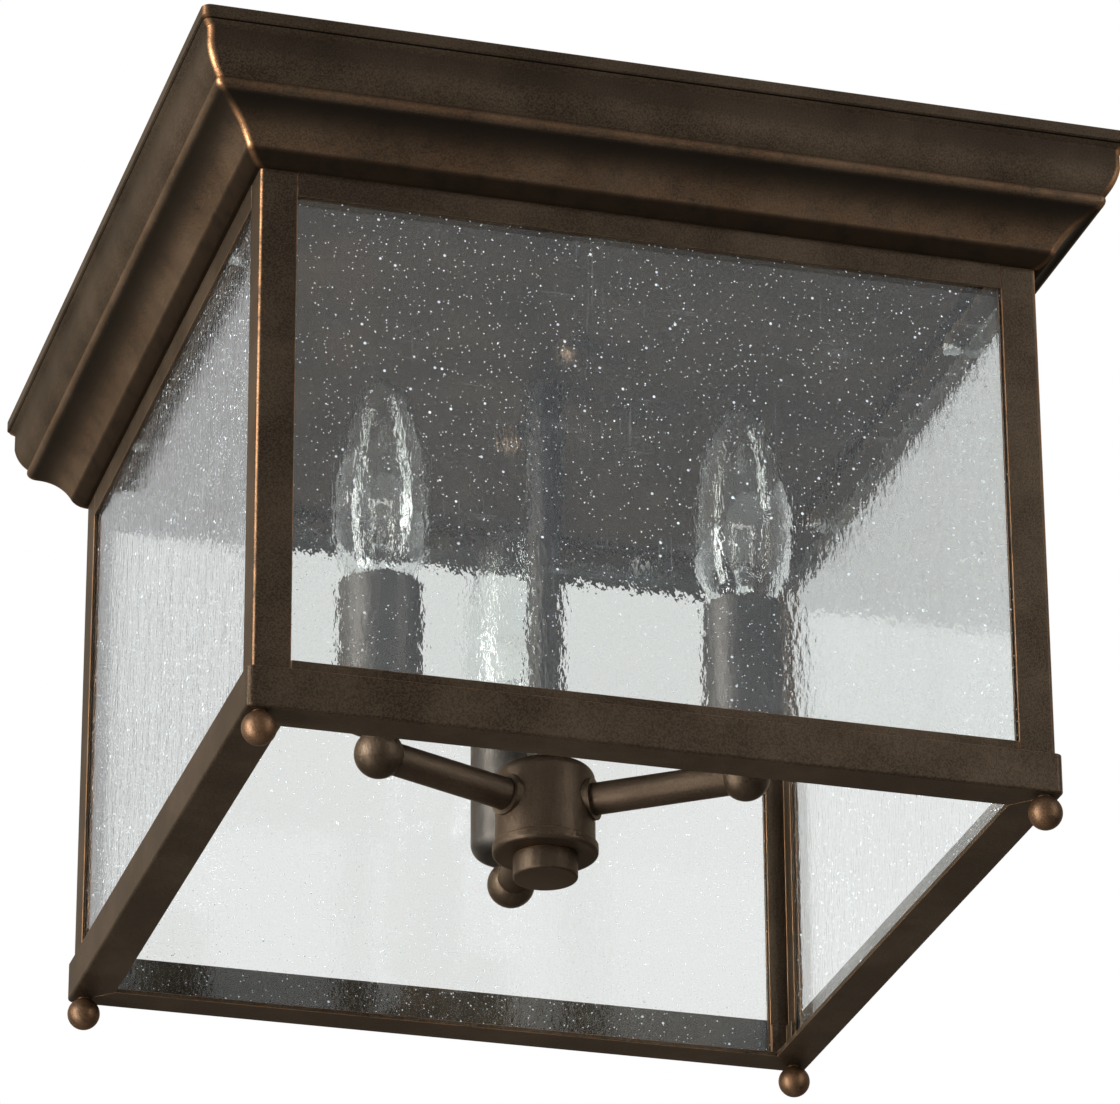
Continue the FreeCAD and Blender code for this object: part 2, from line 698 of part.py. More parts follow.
# Stem tube from the ceiling plate down through the hub's roof.
stem = cut(rod("stem_radius", hub_ceiling, flange_top),
           rod("stem_bore", hub_ceiling - overrun, flange_top + overrun))
node(stem, "stem_tube")

# Threaded nipple that fixes the stem to the ceiling plate, and its hexagon lock nut.
nipple = cut(rod("nipple_radius", nipple_foot, nipple_top),
             rod("nipple_bore", nipple_foot - overrun, nipple_top + overrun))
hexagon = doc.addObject("Part::Prism", "hexagon")
hexagon.Polygon = 6
hexagon.setExpression("Circumradius", (size("locknut_flats") / math.sqrt(3)).formula)
hexagon.setExpression("Height", size("locknut_height").formula)
place(hexagon, 0, 0, ceiling_top)
locknut = cut(hexagon, rod(size("nipple_radius") + "thread_gap", flange_top, nipple_top + overrun))
node(locknut, "stem_lock_nut")

# Hollow hub with a raised collar round each arm.
hub_block = turned([(0, hub_foot), ("hub_radius", hub_foot),
                    ("hub_radius", hub_top - "hub_shoulder", "hub_shoulder"),
                    (size("hub_radius") - "hub_shoulder", hub_top), (0, hub_top)])
collar_reach = size("hub_radius") + "collar_height"
collars = [radial_rod("collar_radius", "hub_hollow", collar_reach, arm_height, turn)
           for turn in arm_turns]
arm_start = size("hub_radius") - "arm_inset"
hub_tools = [rod("hub_hollow", hub_foot - overrun, hub_ceiling),
             rod(size("stem_radius") + "slip", hub_ceiling - overrun, hub_top + overrun)]
for turn in arm_turns:
    hub_tools.append(radial_rod(size("arm_radius") + "slip", 0, collar_reach + overrun,
                                arm_height, turn))
node(cut(fuse(hub_block, *collars), *hub_tools), "hub_body")

# Cap with a flange that closes the hub from below, and the knob that screws into it.
cap_foot = hub_foot - "cap_height"
spigot = size("hub_hollow") - "slip"
cap = turned([(0, cap_foot), (size("cap_radius") - "cap_round", cap_foot, "cap_round"),
              ("cap_radius", cap_foot + "cap_round"), ("cap_radius", hub_foot),
              (spigot, hub_foot), (spigot, hub_foot + "cap_spigot"),
              (0, hub_foot + "cap_spigot")])
shank_radius = size("knob_thread") - "thread_gap"
node(cut(cap, rod("knob_thread", cap_foot - overrun, hub_foot + "cap_spigot" + overrun)), "hub_cap")
knob_foot = cap_foot - "knob_height"
knob = turned([(0, knob_foot), (size("knob_radius") - "knob_round", knob_foot, "knob_round"),
               ("knob_radius", knob_foot + "knob_round"), ("knob_radius", cap_foot),
               (shank_radius, cap_foot), (shank_radius, cap_foot + "knob_shank"),
               (0, cap_foot + "knob_shank")])
node(knob, "hub_knob")


# ---------------------------------------------------------------- candle arms and lamps

# Arms, the balls at their ends, and the cups, sockets and bulbs that stand on them.
arm_end = size("arm_reach") - "ball_radius" + "arm_socket"
ball_top = arm_height + "ball_radius" - "ball_cut"
cup_foot = ball_top + "cup_neck"
cup_rim = cup_foot + "cup_height"
cup_floor = cup_foot + "cup_floor"
cup_inner = size("cup_radius") - "cup_wall"
inner_round = size("cup_round") - "cup_wall"
nipple_hole = size("socket_nipple_radius") + "slip"
nipple_low = ball_top - "nipple_in_ball"
nipple_high = cup_floor + "nipple_in_socket"
socket_seat = nipple_high + "nipple_spare"
socket_rim = cup_rim - "socket_recess"
socket_floor = socket_rim - "shell_depth"
terminal_top = socket_floor - "shell_floor"
shell_bore = size("base_radius") + "base_gap"
base_foot = socket_floor + "base_clear"
base_cone = base_foot + "base_taper"
base_top = socket_rim + "base_show"
neck = size("base_radius") - "neck_inset"
shoulder = base_top + "shoulder_height"
belly = base_top + "belly_height"
waist = base_top + "waist_height"
tip = base_top + "tip_height"
lead_top = base_top + "lead_height"
wall = size("bulb_wall")

threaded_nipples = [nipple]
for index, turn in enumerate(arm_turns):
    number = index + 1
    candle_x = Size(VALUES["arm_reach"] * math.cos(math.radians(turn.value)),
                    f"(Sizes.arm_reach * cos({turn.formula}))")
    candle_y = Size(VALUES["arm_reach"] * math.sin(math.radians(turn.value)),
                    f"(Sizes.arm_reach * sin({turn.formula}))")

    arm = cut(radial_rod("arm_radius", arm_start, arm_end, arm_height, turn),
              radial_rod("arm_bore", arm_start - overrun, arm_end + overrun, arm_height, turn))
    node(arm, f"arm_{number}")

    sphere = doc.addObject("Part::Sphere", "ball")
    sphere.setExpression("Radius", size("ball_radius").formula)
    place(sphere, candle_x, candle_y, arm_height)
    hollow = doc.addObject("Part::Sphere", "hollow")
    hollow.setExpression("Radius", (size("ball_radius") - "ball_wall").formula)
    place(hollow, candle_x, candle_y, arm_height)
    crown = rod("ball_radius", ball_top, ball_top + "ball_radius", candle_x, candle_y)
    bore = radial_rod(size("arm_radius") + "slip", arm_end - "ball_radius", arm_end,
                      arm_height, turn)
    riser = rod(nipple_hole, arm_height, ball_top + overrun, candle_x, candle_y)
    node(cut(sphere, hollow, crown, bore, riser), f"arm_ball_{number}")

    threaded_nipples.append(cut(
        rod("socket_nipple_radius", nipple_low, nipple_high, candle_x, candle_y),
        rod("socket_nipple_bore", nipple_low - overrun, nipple_high + overrun,
            candle_x, candle_y)))

    cup = turned(
        [(0, cup_foot), (size("cup_radius") - "cup_round", cup_foot, "cup_round"),
         ("cup_radius", cup_foot + "cup_round"), ("cup_radius", cup_rim), (0, cup_rim)],
        [(0, cup_floor), (cup_inner - inner_round, cup_floor, inner_round),
         (cup_inner, cup_floor + inner_round), (cup_inner, cup_rim), (0, cup_rim)])
    place(cup, candle_x, candle_y)
    cup_hole = rod(nipple_hole, cup_foot - overrun, cup_floor + overrun, candle_x, candle_y)
    node(cut(cup, cup_hole), f"candle_cup_{number}")

    socket = turned(
        [(0, cup_floor), ("socket_foot_radius", cup_floor),
         ("socket_foot_radius", cup_floor + "socket_shoulder"),
         ("socket_radius", cup_floor + "socket_shoulder"), ("socket_radius", socket_rim),
         (shell_bore, socket_rim), (shell_bore, socket_floor), (0, socket_floor)],
        [(0, cup_floor), (nipple_hole, cup_floor), (nipple_hole, socket_seat),
         ("terminal_radius", socket_seat), ("terminal_radius", terminal_top),
         (0, terminal_top)])
    node(place(socket, candle_x, candle_y), f"lamp_socket_{number}")

    screw_base = turned(
        [(0, base_foot), ("contact_radius", base_foot), ("base_radius", base_cone),
         ("base_radius", base_top), (0, base_top)])
    place(screw_base, candle_x, candle_y)
    leads = [rod("lead_radius", base_cone, lead_top, candle_x - "lead_spread", candle_y),
             rod("lead_radius", base_cone, lead_top, candle_x + "lead_spread", candle_y)]
    filament = box((candle_x - "lead_spread", candle_x + "lead_spread"),
                   (candle_y - "lead_radius", candle_y + "lead_radius"),
                   (lead_top - size("lead_radius") * 2, lead_top))
    node(fuse(screw_base, *leads, filament), f"bulb_base_{number}")

    glass = turned([
        (neck, base_top, "neck_curve"), ("shoulder_radius", shoulder, "shoulder_curve"),
        ("bulb_radius", belly, "belly_curve"), ("waist_radius", waist, "tip_curve"),
        ("tip_radius", tip), (0, tip), (0, tip - wall),
        (size("tip_radius") - wall, tip - wall, -size("tip_curve")),
        (size("waist_radius") - wall, waist, -size("belly_curve")),
        (size("bulb_radius") - wall, belly, -size("shoulder_curve")),
        (size("shoulder_radius") - wall, shoulder, -size("neck_curve")), (neck - wall, base_top)])
    node(place(glass, candle_x, candle_y), f"bulb_glass_{number}")
node(group(*threaded_nipples), "threaded_nipples")


# ---------------------------------------------------------------- wiring


splice = nipple_top + "splice_gap"


def lamp_wire(turn):
    """Twin lead from a socket down into its ball, along the arm and up the stem."""
    reach = VALUES["arm_reach"]
    height = arm_height.value
    ball_bend = VALUES["wire_ball_bend"]
    hub_bend = VALUES["wire_hub_bend"]
    offset = VALUES["wire_offset"]
    start = FreeCAD.Vector(reach, 0, terminal_top.value - VALUES["wire_radius"])
    across = FreeCAD.Vector(reach - ball_bend, 0, height)
    inwards = FreeCAD.Vector(offset + hub_bend, 0, height)
    top = FreeCAD.Vector(offset, 0, splice.value)

    def bend(centre, radius, first, last):
        points = []
        for angle in (first, (first + last) / 2, last):
            step = FreeCAD.Vector(math.cos(math.radians(angle)), 0, math.sin(math.radians(angle)))
            points.append(centre + step * radius)
        return Part.Arc(*points).toShape()

    ball_centre = across + FreeCAD.Vector(0, 0, ball_bend)
    hub_centre = inwards + FreeCAD.Vector(0, 0, hub_bend)
    spine = Part.Wire([
        Part.LineSegment(start, ball_centre + FreeCAD.Vector(ball_bend, 0, 0)).toShape(),
        bend(ball_centre, ball_bend, 0, -90),
        Part.LineSegment(across, inwards).toShape(),
        bend(hub_centre, hub_bend, -90, -180),
        Part.LineSegment(hub_centre - FreeCAD.Vector(hub_bend, 0, 0), top).toShape(),
    ])
    ring = Part.Wire(Part.makeCircle(VALUES["wire_radius"], start, FreeCAD.Vector(0, 0, -1)))
    tube = spine.makePipeShell([ring], True, False)
    section = math.pi * VALUES["wire_radius"] ** 2
    print("lamp wire: volume over section times length", tube.Volume / (section * spine.Length))
    tube.rotate(FreeCAD.Vector(0, 0, 0), FreeCAD.Vector(0, 0, 1), turn)
    return tube


wires = doc.addObject("Part::Feature", "wires")
wires.Shape = Part.makeCompound([lamp_wire(turn.value) for turn in arm_turns])
wires.Placement = FreeCAD.Placement()
node(wires, "lamp_wires")

# Connector that joins the three leads above the stem, where the supply is tied in.
connector = turned([(0, splice), ("connector_foot_radius", splice),
                    ("connector_top_radius", splice + "connector_height"),
                    (0, splice + "connector_height")])
node(connector, "wire_connector")

doc.recompute()

for item in doc.Objects:
    if "Invalid" in item.State or "Error" in item.State:
        raise RuntimeError(f"{item.Label} failed: {item.State}")
labels = [item.Label for item in nodes]
if len(set(labels)) != len(labels):
    raise RuntimeError("two sub-parts share a name")

os.makedirs("parts", exist_ok=True)
for item in nodes:
    shape = item.Shape
    if shape.isNull() or not shape.isValid() or not shape.Solids:
        raise RuntimeError(f"{item.Label} has no valid solid")
    shape.exportStep(f"parts/{item.Label}.step")
    print(item.Label, len(shape.Solids), round(shape.Volume, 1))
print(len(nodes), "sub-parts")
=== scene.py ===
import json
import math

import bmesh
import bpy
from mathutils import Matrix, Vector

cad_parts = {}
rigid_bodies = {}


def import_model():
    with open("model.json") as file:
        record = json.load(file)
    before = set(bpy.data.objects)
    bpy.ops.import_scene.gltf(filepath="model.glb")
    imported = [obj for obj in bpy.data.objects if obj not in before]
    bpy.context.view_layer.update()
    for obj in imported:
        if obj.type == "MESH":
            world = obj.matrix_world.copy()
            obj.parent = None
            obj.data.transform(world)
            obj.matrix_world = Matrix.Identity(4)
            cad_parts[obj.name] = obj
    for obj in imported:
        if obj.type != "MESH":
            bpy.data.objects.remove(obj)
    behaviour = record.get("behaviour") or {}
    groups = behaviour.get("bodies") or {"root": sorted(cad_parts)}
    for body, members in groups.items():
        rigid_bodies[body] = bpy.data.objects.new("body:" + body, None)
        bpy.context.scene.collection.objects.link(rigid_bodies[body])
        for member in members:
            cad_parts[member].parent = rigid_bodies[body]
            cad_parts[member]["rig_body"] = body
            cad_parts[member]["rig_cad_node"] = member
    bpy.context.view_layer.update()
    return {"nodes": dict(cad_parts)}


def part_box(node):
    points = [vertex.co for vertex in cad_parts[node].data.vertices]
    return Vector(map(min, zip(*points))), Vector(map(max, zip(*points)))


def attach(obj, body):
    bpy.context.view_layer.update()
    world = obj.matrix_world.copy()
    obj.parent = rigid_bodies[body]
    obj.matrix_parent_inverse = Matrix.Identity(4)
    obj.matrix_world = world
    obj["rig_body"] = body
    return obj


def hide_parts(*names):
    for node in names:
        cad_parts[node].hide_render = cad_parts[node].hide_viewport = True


# A square porch lantern, built as it is put together: canopy, cage, glass, then the lamps. The
# frame's own boxes give the sizes, so that each piece lies where its CAD node lies.
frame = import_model()

# ---------------------------------------------------------------- camera
# A long lens below the lantern and to the left of its front, tilted up at it. Its place and
# angles come from lines fitted to the photograph's edges.
CAMERA_PLACE = (-0.50391, -1.74588, -0.94781)
CAMERA_TILT = 115.0
CAMERA_ROLL = 0.35
CAMERA_HEADING = -16.2
CAMERA_SENSOR = 36
CAMERA_LENS = 195.87
CAMERA_SHIFT = (-0.0084, 0.0026)
camera = bpy.data.objects.new("camera", bpy.data.cameras.new("camera"))
bpy.context.scene.collection.objects.link(camera)
bpy.context.scene.camera = camera
camera.data.sensor_width = CAMERA_SENSOR
camera.data.lens = CAMERA_LENS
camera.data.shift_x, camera.data.shift_y = CAMERA_SHIFT
camera.location = CAMERA_PLACE
camera.rotation_euler = [math.radians(a) for a in (CAMERA_TILT, CAMERA_ROLL, CAMERA_HEADING)]
bpy.context.scene.view_settings.view_transform = "Standard"


class Wire:
    """A socket of a node tree. Arithmetic on it adds Math nodes."""

    def __init__(self, tree, socket=None):
        self.tree = tree
        self.socket = socket

    def node(self, kind, settings, inputs, output=0):
        """Adds a node: its settings first, then the values or links of its sockets."""
        made = self.tree.nodes.new(kind)
        for name, value in settings.items():
            setattr(made, name, value)
        for name, value in inputs.items():
            if isinstance(value, Wire):
                self.tree.links.new(value.socket, made.inputs[name])
            else:
                made.inputs[name].default_value = value
        return Wire(self.tree, made.outputs[output])

    def math(self, operation, first, second=0.0):
        return self.node("ShaderNodeMath", {"operation": operation}, {0: first, 1: second})

    def __add__(self, other):
        return self.math("ADD", self, other)

    def __radd__(self, other):
        return self.math("ADD", other, self)

    def __sub__(self, other):
        return self.math("SUBTRACT", self, other)

    def __rsub__(self, other):
        return self.math("SUBTRACT", other, self)

    def __mul__(self, other):
        return self.math("MULTIPLY", self, other)

    def __rmul__(self, other):
        return self.math("MULTIPLY", other, self)

    def rise(self, low, high):
        """0 below low, 1 above high and smooth between."""
        return self.node("ShaderNodeMapRange", {"interpolation_type": "SMOOTHSTEP"},
                         {"Value": self, "From Min": low, "From Max": high})

    def mix(self, first, second):
        """The first colour where this is 0 and the second where it is 1."""
        return self.node("ShaderNodeMix", {"data_type": "RGBA"},
                         {"Factor": self, 6: first, 7: second}, output=2)


# ---------------------------------------------------------------- studio
# Surroundings that are white to the lens, dimmer where they shine through glass, dimmer still
# where they are mirrored and dimmest as plain light, with three soft lamps and a floor far below.
FLOOR_DEPTH = 3.2
FLOOR_WIDTH = 40.0
AMBIENT = 0.46
MIRRORED = 0.64
THROUGH_GLASS = 0.89
world = bpy.data.worlds.new("white studio")
bpy.context.scene.world = world
world.use_nodes = True
world.node_tree.nodes.clear()
sky = Wire(world.node_tree)


def sees(kind):
    return sky.node("ShaderNodeLightPath", {}, {}, output=kind)


# A ray through glass also counts as glossy, so it is taken out before the others are added.
mirrored = AMBIENT + sees("Is Glossy Ray") * (MIRRORED - AMBIENT)
direct = mirrored + sees("Is Camera Ray") * (1 - AMBIENT)
through_glass = sees("Is Transmission Ray")
strength = through_glass * THROUGH_GLASS + (1 - through_glass) * direct
light = sky.node("ShaderNodeBackground", {}, {"Color": (1, 1, 1, 1), "Strength": strength})
surface = world.node_tree.nodes.new("ShaderNodeOutputWorld")
world.node_tree.links.new(light.socket, surface.inputs["Surface"])


LANTERN_MIDDLE = Vector((0, 0, -0.12))


def lamp(name, place, width, height, power):
    """A soft lamp, as wide and high as given, that faces the middle of the lantern."""
    made = bpy.data.objects.new(name, bpy.data.lights.new(name, "AREA"))
    bpy.context.scene.collection.objects.link(made)
    made.data.shape = "RECTANGLE"
    made.data.size = width
    made.data.size_y = height
    made.data.energy = power
    made.location = place
    towards = LANTERN_MIDDLE - Vector(place)
    made.rotation_euler = towards.to_track_quat("-Z", "Y").to_euler()


# Two tall soft boxes, which also draw the bright upright streaks on the bulbs, the right one close
# enough to brighten that end, and a weaker one behind the camera.
lamp("left soft box", (-2.30, -0.42, -0.45), 0.8, 3.2, 340)
lamp("right soft box", (1.05, -1.15, 0.05), 0.35, 1.8, 26)
lamp("camera soft box", (-0.95, -2.70, -0.75), 0.8, 0.8, 4)


def material(name):
    """An empty material and the wire that adds its nodes."""
    made = bpy.data.materials.new(name)
    made.use_nodes = True
    made.node_tree.nodes.clear()
    return made, Wire(made.node_tree)


def show(made, shader):
    """Ends a material with the shader on its surface."""
    end = made.node_tree.nodes.new("ShaderNodeOutputMaterial")
    made.node_tree.links.new(shader.socket, end.inputs["Surface"])
    return made


FLOOR_TO_LANTERN = (0.50, 0.50, 0.49, 1)
FLOOR_TO_LENS = (0.86, 0.86, 0.85, 1)
floor_paint, wire = material("floor paint")
to_lens = wire.node("ShaderNodeLightPath", {}, {}, output="Is Camera Ray")
floor_colour = to_lens.mix(FLOOR_TO_LANTERN, FLOOR_TO_LENS)
show(floor_paint, wire.node("ShaderNodeBsdfDiffuse", {}, {"Color": floor_colour}))
bpy.ops.mesh.primitive_plane_add(size=FLOOR_WIDTH, location=(0, 0, -FLOOR_DEPTH))
floor = bpy.context.object
floor.name = "porch_floor"
floor.data.materials.append(floor_paint)


# ---------------------------------------------------------------- canopy
# Pressed steel pan with a lip, fascia, ovolo, listel and cove, mitred at its corners, finished in
# oil-rubbed bronze: dark brown, finely mottled, with copper showing where the edges are rubbed.
COPPER = (0.42, 0.20, 0.085, 1)
# Painted shade: a near-black brown and a flat black that darken the canopy's groove, the fascia
# under its lip, the cove under its listel and the bead below its foot.
PAINTED_SHADE_BROWN = (0.0025, 0.0017, 0.0012, 1)
PAINTED_SHADE_BLACK = (0.004, 0.003, 0.002, 1)
BRONZE_SHEEN = (0.80, 0.66, 0.52, 1)


def bronze(name, dark, light, copper_share):
    """Oil-rubbed bronze: dark and light are its browns, copper_share how far edges are rubbed.
    Where a piece is marked for it, painted shade darkens the brown to near black.
    """
    made, wire = material(name)
    place = wire.node("ShaderNodeTexCoord", {}, {}, output="Object")

    def noise(scale, detail):
        return wire.node("ShaderNodeTexNoise", {},
                         {"Vector": place, "Scale": scale, "Detail": detail, "Roughness": 0.6})

    def mark(attribute):
        return wire.node("ShaderNodeAttribute", {"attribute_name": attribute}, {}, output="Fac")

    cloud = noise(28, 3).rise(0.35, 0.68)
    grain = noise(1700, 2).rise(0.34, 0.66)
    # On the canopy this mark also holds a painted highlight along the listel, shown in the same
    # copper.
    copper = mark("rub_and_highlight") * noise(160, 3).rise(0.2, 0.6) * copper_share
    # The mark read here paints shade: it turns the brown near black, roughens it and mixes in a
    # flat black.
    painted_shade = mark("painted_shade")
    brown = (cloud * 0.40 + grain * 0.42).mix((*dark, 1), (*light, 1))
    brown = painted_shade.mix(brown, PAINTED_SHADE_BROWN)
    colour = copper.mix(brown, COPPER)
    relief = wire.node("ShaderNodeBump", {}, {"Height": grain, "Strength": 0.3,
                                              "Distance": 0.00008})
    shader = wire.node("ShaderNodeBsdfPrincipled", {}, {
        "Base Color": colour, "Metallic": 0.72 + copper * 0.2, "Specular IOR Level": 0.35,
        "Specular Tint": BRONZE_SHEEN,
        "Roughness": 0.42 + grain * 0.10 - copper * 0.08 + painted_shade * 0.3, "Normal": relief})
    # A flat black diffuse, mixed in as painted shade.
    painted_shade_diffuse = wire.node("ShaderNodeBsdfDiffuse", {}, {"Color": PAINTED_SHADE_BLACK})
    return show(made, wire.node("ShaderNodeMixShader", {},
                                {0: painted_shade * 0.85, 1: shader, 2: painted_shade_diffuse}))


SHEET_BRONZE = bronze("sheet bronze", (0.0105, 0.0068, 0.0040), (0.046, 0.032, 0.0205), 0.9)


def only(piece):
    """Selects the piece alone and makes it active."""
    bpy.ops.object.select_all(action="DESELECT")
    piece.select_set(True)
    bpy.context.view_layer.objects.active = piece


def pick(piece, kind, test):
    """In edit mode, selects only the edges or faces that the test picks."""
    bpy.ops.mesh.select_mode(type=kind)
    bpy.ops.mesh.select_all(action="DESELECT")
    shape = bmesh.from_edit_mesh(piece.data)
    for element in {"EDGE": shape.edges, "FACE": shape.faces}[kind]:
        if test(element):
            element.select_set(True)
    bmesh.update_edit_mesh(piece.data)


def arc(start, end, radius, steps):
    """Points after start up to end on an arc that bulges right of the way it is drawn."""
    start, end = Vector(start), Vector(end)
    half = (end - start) / 2
    side = Vector((half.y, -half.x)).normalized() * math.copysign(1, radius)
    depth = math.sqrt(max(radius * radius - half.length_squared, 0))
    centre = start + half - side * depth
    first = start - centre
    sweep = first.angle_signed(end - centre)
    points = []
    for step in range(1, steps + 1):
        turn = -sweep * step / steps
        points.append((centre.x + first.x * math.cos(turn) - first.y * math.sin(turn),
                       centre.y + first.x * math.sin(turn) + first.y * math.cos(turn)))
    return points


SEAM = 1e-6
CORNER_SEGMENTS = 6


def draw_rings(name, profile, sides=48, corner=0):
    """A piece drawn ring by ring through (radius, height). Radius 0 closes it on the axis.

    With a corner radius the rings are squares, and a ring's radius is half its side.
    """
    closed_start = profile[0][0] == 0
    rings = profile[1:] if closed_start else profile
    radius, height = rings[0]
    bpy.ops.object.select_all(action="DESELECT")
    if corner:
        bpy.ops.mesh.primitive_plane_add(size=radius * 2, location=(0, 0, height))
    else:
        bpy.ops.mesh.primitive_circle_add(vertices=sides, radius=radius, location=(0, 0, height))
    piece = bpy.context.object
    piece.name = name
    bpy.ops.object.mode_set(mode="EDIT")
    # A ring has no face, so outside vertex mode it can't be selected or drawn on.
    bpy.ops.mesh.select_mode(type="VERT")
    bpy.ops.mesh.select_all(action="SELECT")
    if corner:
        bpy.ops.mesh.bevel(affect="VERTICES", offset=corner, segments=CORNER_SEGMENTS)
        bpy.ops.mesh.delete(type="ONLY_FACE")
        bpy.ops.mesh.select_all(action="SELECT")
    for next_radius, next_height in rings[1:]:
        rise = next_height - height
        bpy.ops.mesh.extrude_region_move(TRANSFORM_OT_translate={"value": (0, 0, rise)})
        if next_radius:
            share = next_radius / radius
            bpy.ops.transform.resize(value=(share, share, 1))
        else:
            bpy.ops.mesh.merge(type="CENTER")
        radius, height = next_radius, next_height
    if closed_start:
        pick(piece, "EDGE", lambda edge: edge.is_boundary)
        rise = profile[0][1] - rings[0][1]
        bpy.ops.mesh.extrude_region_move(TRANSFORM_OT_translate={"value": (0, 0, rise)})
        bpy.ops.mesh.merge(type="CENTER")
    bpy.ops.mesh.select_all(action="SELECT")
    bpy.ops.mesh.remove_doubles(threshold=SEAM)
    bpy.ops.mesh.normals_make_consistent(inside=False)
    bpy.ops.object.mode_set(mode="OBJECT")
    bpy.ops.object.transform_apply(location=True)
    return piece


def apply_modifier(piece, kind, **settings):
    """Adds a modifier with its settings and applies it."""
    only(piece)
    modifier = piece.modifiers.new(kind.lower(), kind)
    for name, value in settings.items():
        setattr(modifier, name, value)
    bpy.ops.object.modifier_apply(modifier=modifier.name)


def paint(piece, finish):
    piece.data.materials.clear()
    piece.data.materials.append(finish)


EASED_SEGMENTS = 3
SHARP_ANGLE = math.radians(30)
LEAST_LEAN = -0.02


def ease_edges(piece, finish, width):
    """Rounds the sharp edges and marks the outward rounds as rubbed."""
    paint(piece, finish)
    piece.data.materials.append(finish)
    apply_modifier(piece, "BEVEL", width=width, segments=EASED_SEGMENTS, limit_method="ANGLE",
                   angle_limit=SHARP_ANGLE, material=1)
    shape = bmesh.new()
    shape.from_mesh(piece.data)
    rub_and_highlight = shape.verts.layers.float.new("rub_and_highlight")
    for vertex in shape.verts:
        rounded = all(face.material_index == 1 for face in vertex.link_faces)
        lean = sum((edge.other_vert(vertex).co - vertex.co).normalized().dot(vertex.normal)
                   for edge in vertex.link_edges)
        vertex[rub_and_highlight] = 1.0 if rounded and lean < LEAST_LEAN else 0.0
    for face in shape.faces:
        face.material_index = 0
    shape.to_mesh(piece.data)
    shape.free()
    paint(piece, finish)
    smooth(piece)


def mark_finish(piece, name, measure):
    """Writes an attribute that the finish reads, from each vertex's place and old mark."""
    marks = piece.data.attributes.get(name)
    marks = marks or piece.data.attributes.new(name, "FLOAT", "POINT")
    for vertex in piece.data.vertices:
        mark = marks.data[vertex.index]
        mark.value = measure(vertex.co, mark.value)


def smooth(piece, angle=38):
    """Smooth shading that leaves the large flats flat."""
    only(piece)
    bpy.ops.object.shade_smooth_by_angle(angle=math.radians(angle))
    apply_modifier(piece, "WEIGHTED_NORMAL", keep_sharp=True)


def fit(piece, slot, *nodes, body="lantern"):
    """The piece stands for its CAD nodes and moves with their body."""
    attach(piece, body)
    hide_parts(*nodes)


CANOPY_SHEET = 0.0012
CANOPY_CORNER = 0.0024
FLANGE_BEYOND = 0.0035
GROOVE_TOP, GROOVE_FOOT = 0.0042, 0.0048
LISTEL_TOP, LISTEL_FOOT = 0.0210, 0.0246
FOOT_EDGE = 0.0362
FASCIA_TOP, FASCIA_FOOT = 0.0066, 0.0120
GROOVE_LIP_HALF, GROOVE_HALF, GROOVE_LEDGE_HALF = 0.1514, 0.1513, 0.1517
FASCIA_EASE_HALF, FASCIA_HALF = 0.1503, 0.1500
OVOLO_HALF, LISTEL_HALF, COVE_HALF = 0.1458, 0.1445, 0.1426
FOOT_HALF, BEAD_HALF = 0.1330, 0.1284
OVOLO_RADIUS, LISTEL_RADIUS, COVE_RADIUS, BEAD_RADIUS = 0.017, 0.0026, 0.024, 0.008
canopy_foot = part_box("canopy_pan")[0].z
canopy_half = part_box("canopy_pan")[1].x
flange_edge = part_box("top_rail_front")[1].x - FLANGE_BEYOND
mouldings = [(canopy_half - 0.0005, 0), (canopy_half, -0.0005), (canopy_half, -0.0038),
             (canopy_half - 0.0004, -GROOVE_TOP), (GROOVE_LIP_HALF, -0.0043),
             (GROOVE_HALF, -0.0047), (GROOVE_LEDGE_HALF, -GROOVE_FOOT),
             (FASCIA_EASE_HALF, -0.0060), (FASCIA_HALF, -FASCIA_TOP), (FASCIA_HALF, -FASCIA_FOOT)]
mouldings += arc(mouldings[-1], (OVOLO_HALF, -LISTEL_TOP), -OVOLO_RADIUS, 8)
mouldings += arc(mouldings[-1], (LISTEL_HALF, -LISTEL_FOOT), -LISTEL_RADIUS, 6)
mouldings += [(0.1436, -0.0249), (COVE_HALF, -0.0256)]
mouldings += arc(mouldings[-1], (FOOT_HALF, -FOOT_EDGE), COVE_RADIUS, 8)
mouldings += arc(mouldings[-1], (BEAD_HALF, canopy_foot), -BEAD_RADIUS, 8)
mouldings += [(flange_edge, canopy_foot)]
canopy = draw_rings("canopy", mouldings, corner=CANOPY_CORNER)
paint(canopy, SHEET_BRONZE)


def fade(value, low, high):
    """0 at low, 1 at high."""
    return min(max((value - low) / (high - low), 0), 1)


def canopy_painted_shade(point, mark):
    """Painted shade: near black in the groove, under the listel and below the foot's edge, and
    lighter on the fascia under the lip.
    """
    depth = -point.z
    below_foot = 0.97 * fade(depth, FOOT_EDGE, FOOT_EDGE + 0.0012)
    groove = 1.0 if GROOVE_TOP + 0.00005 < depth < GROOVE_FOOT - 0.00005 else 0.0
    fascia = 0.30 * fade(depth, 0.0055, 0.0065) * (1 - fade(depth, 0.010, 0.016))
    under_listel = 0.85 * fade(depth, 0.0242, 0.0249) * (1 - fade(depth, 0.0256, 0.0320))
    return max(below_foot, groove, fascia, under_listel)


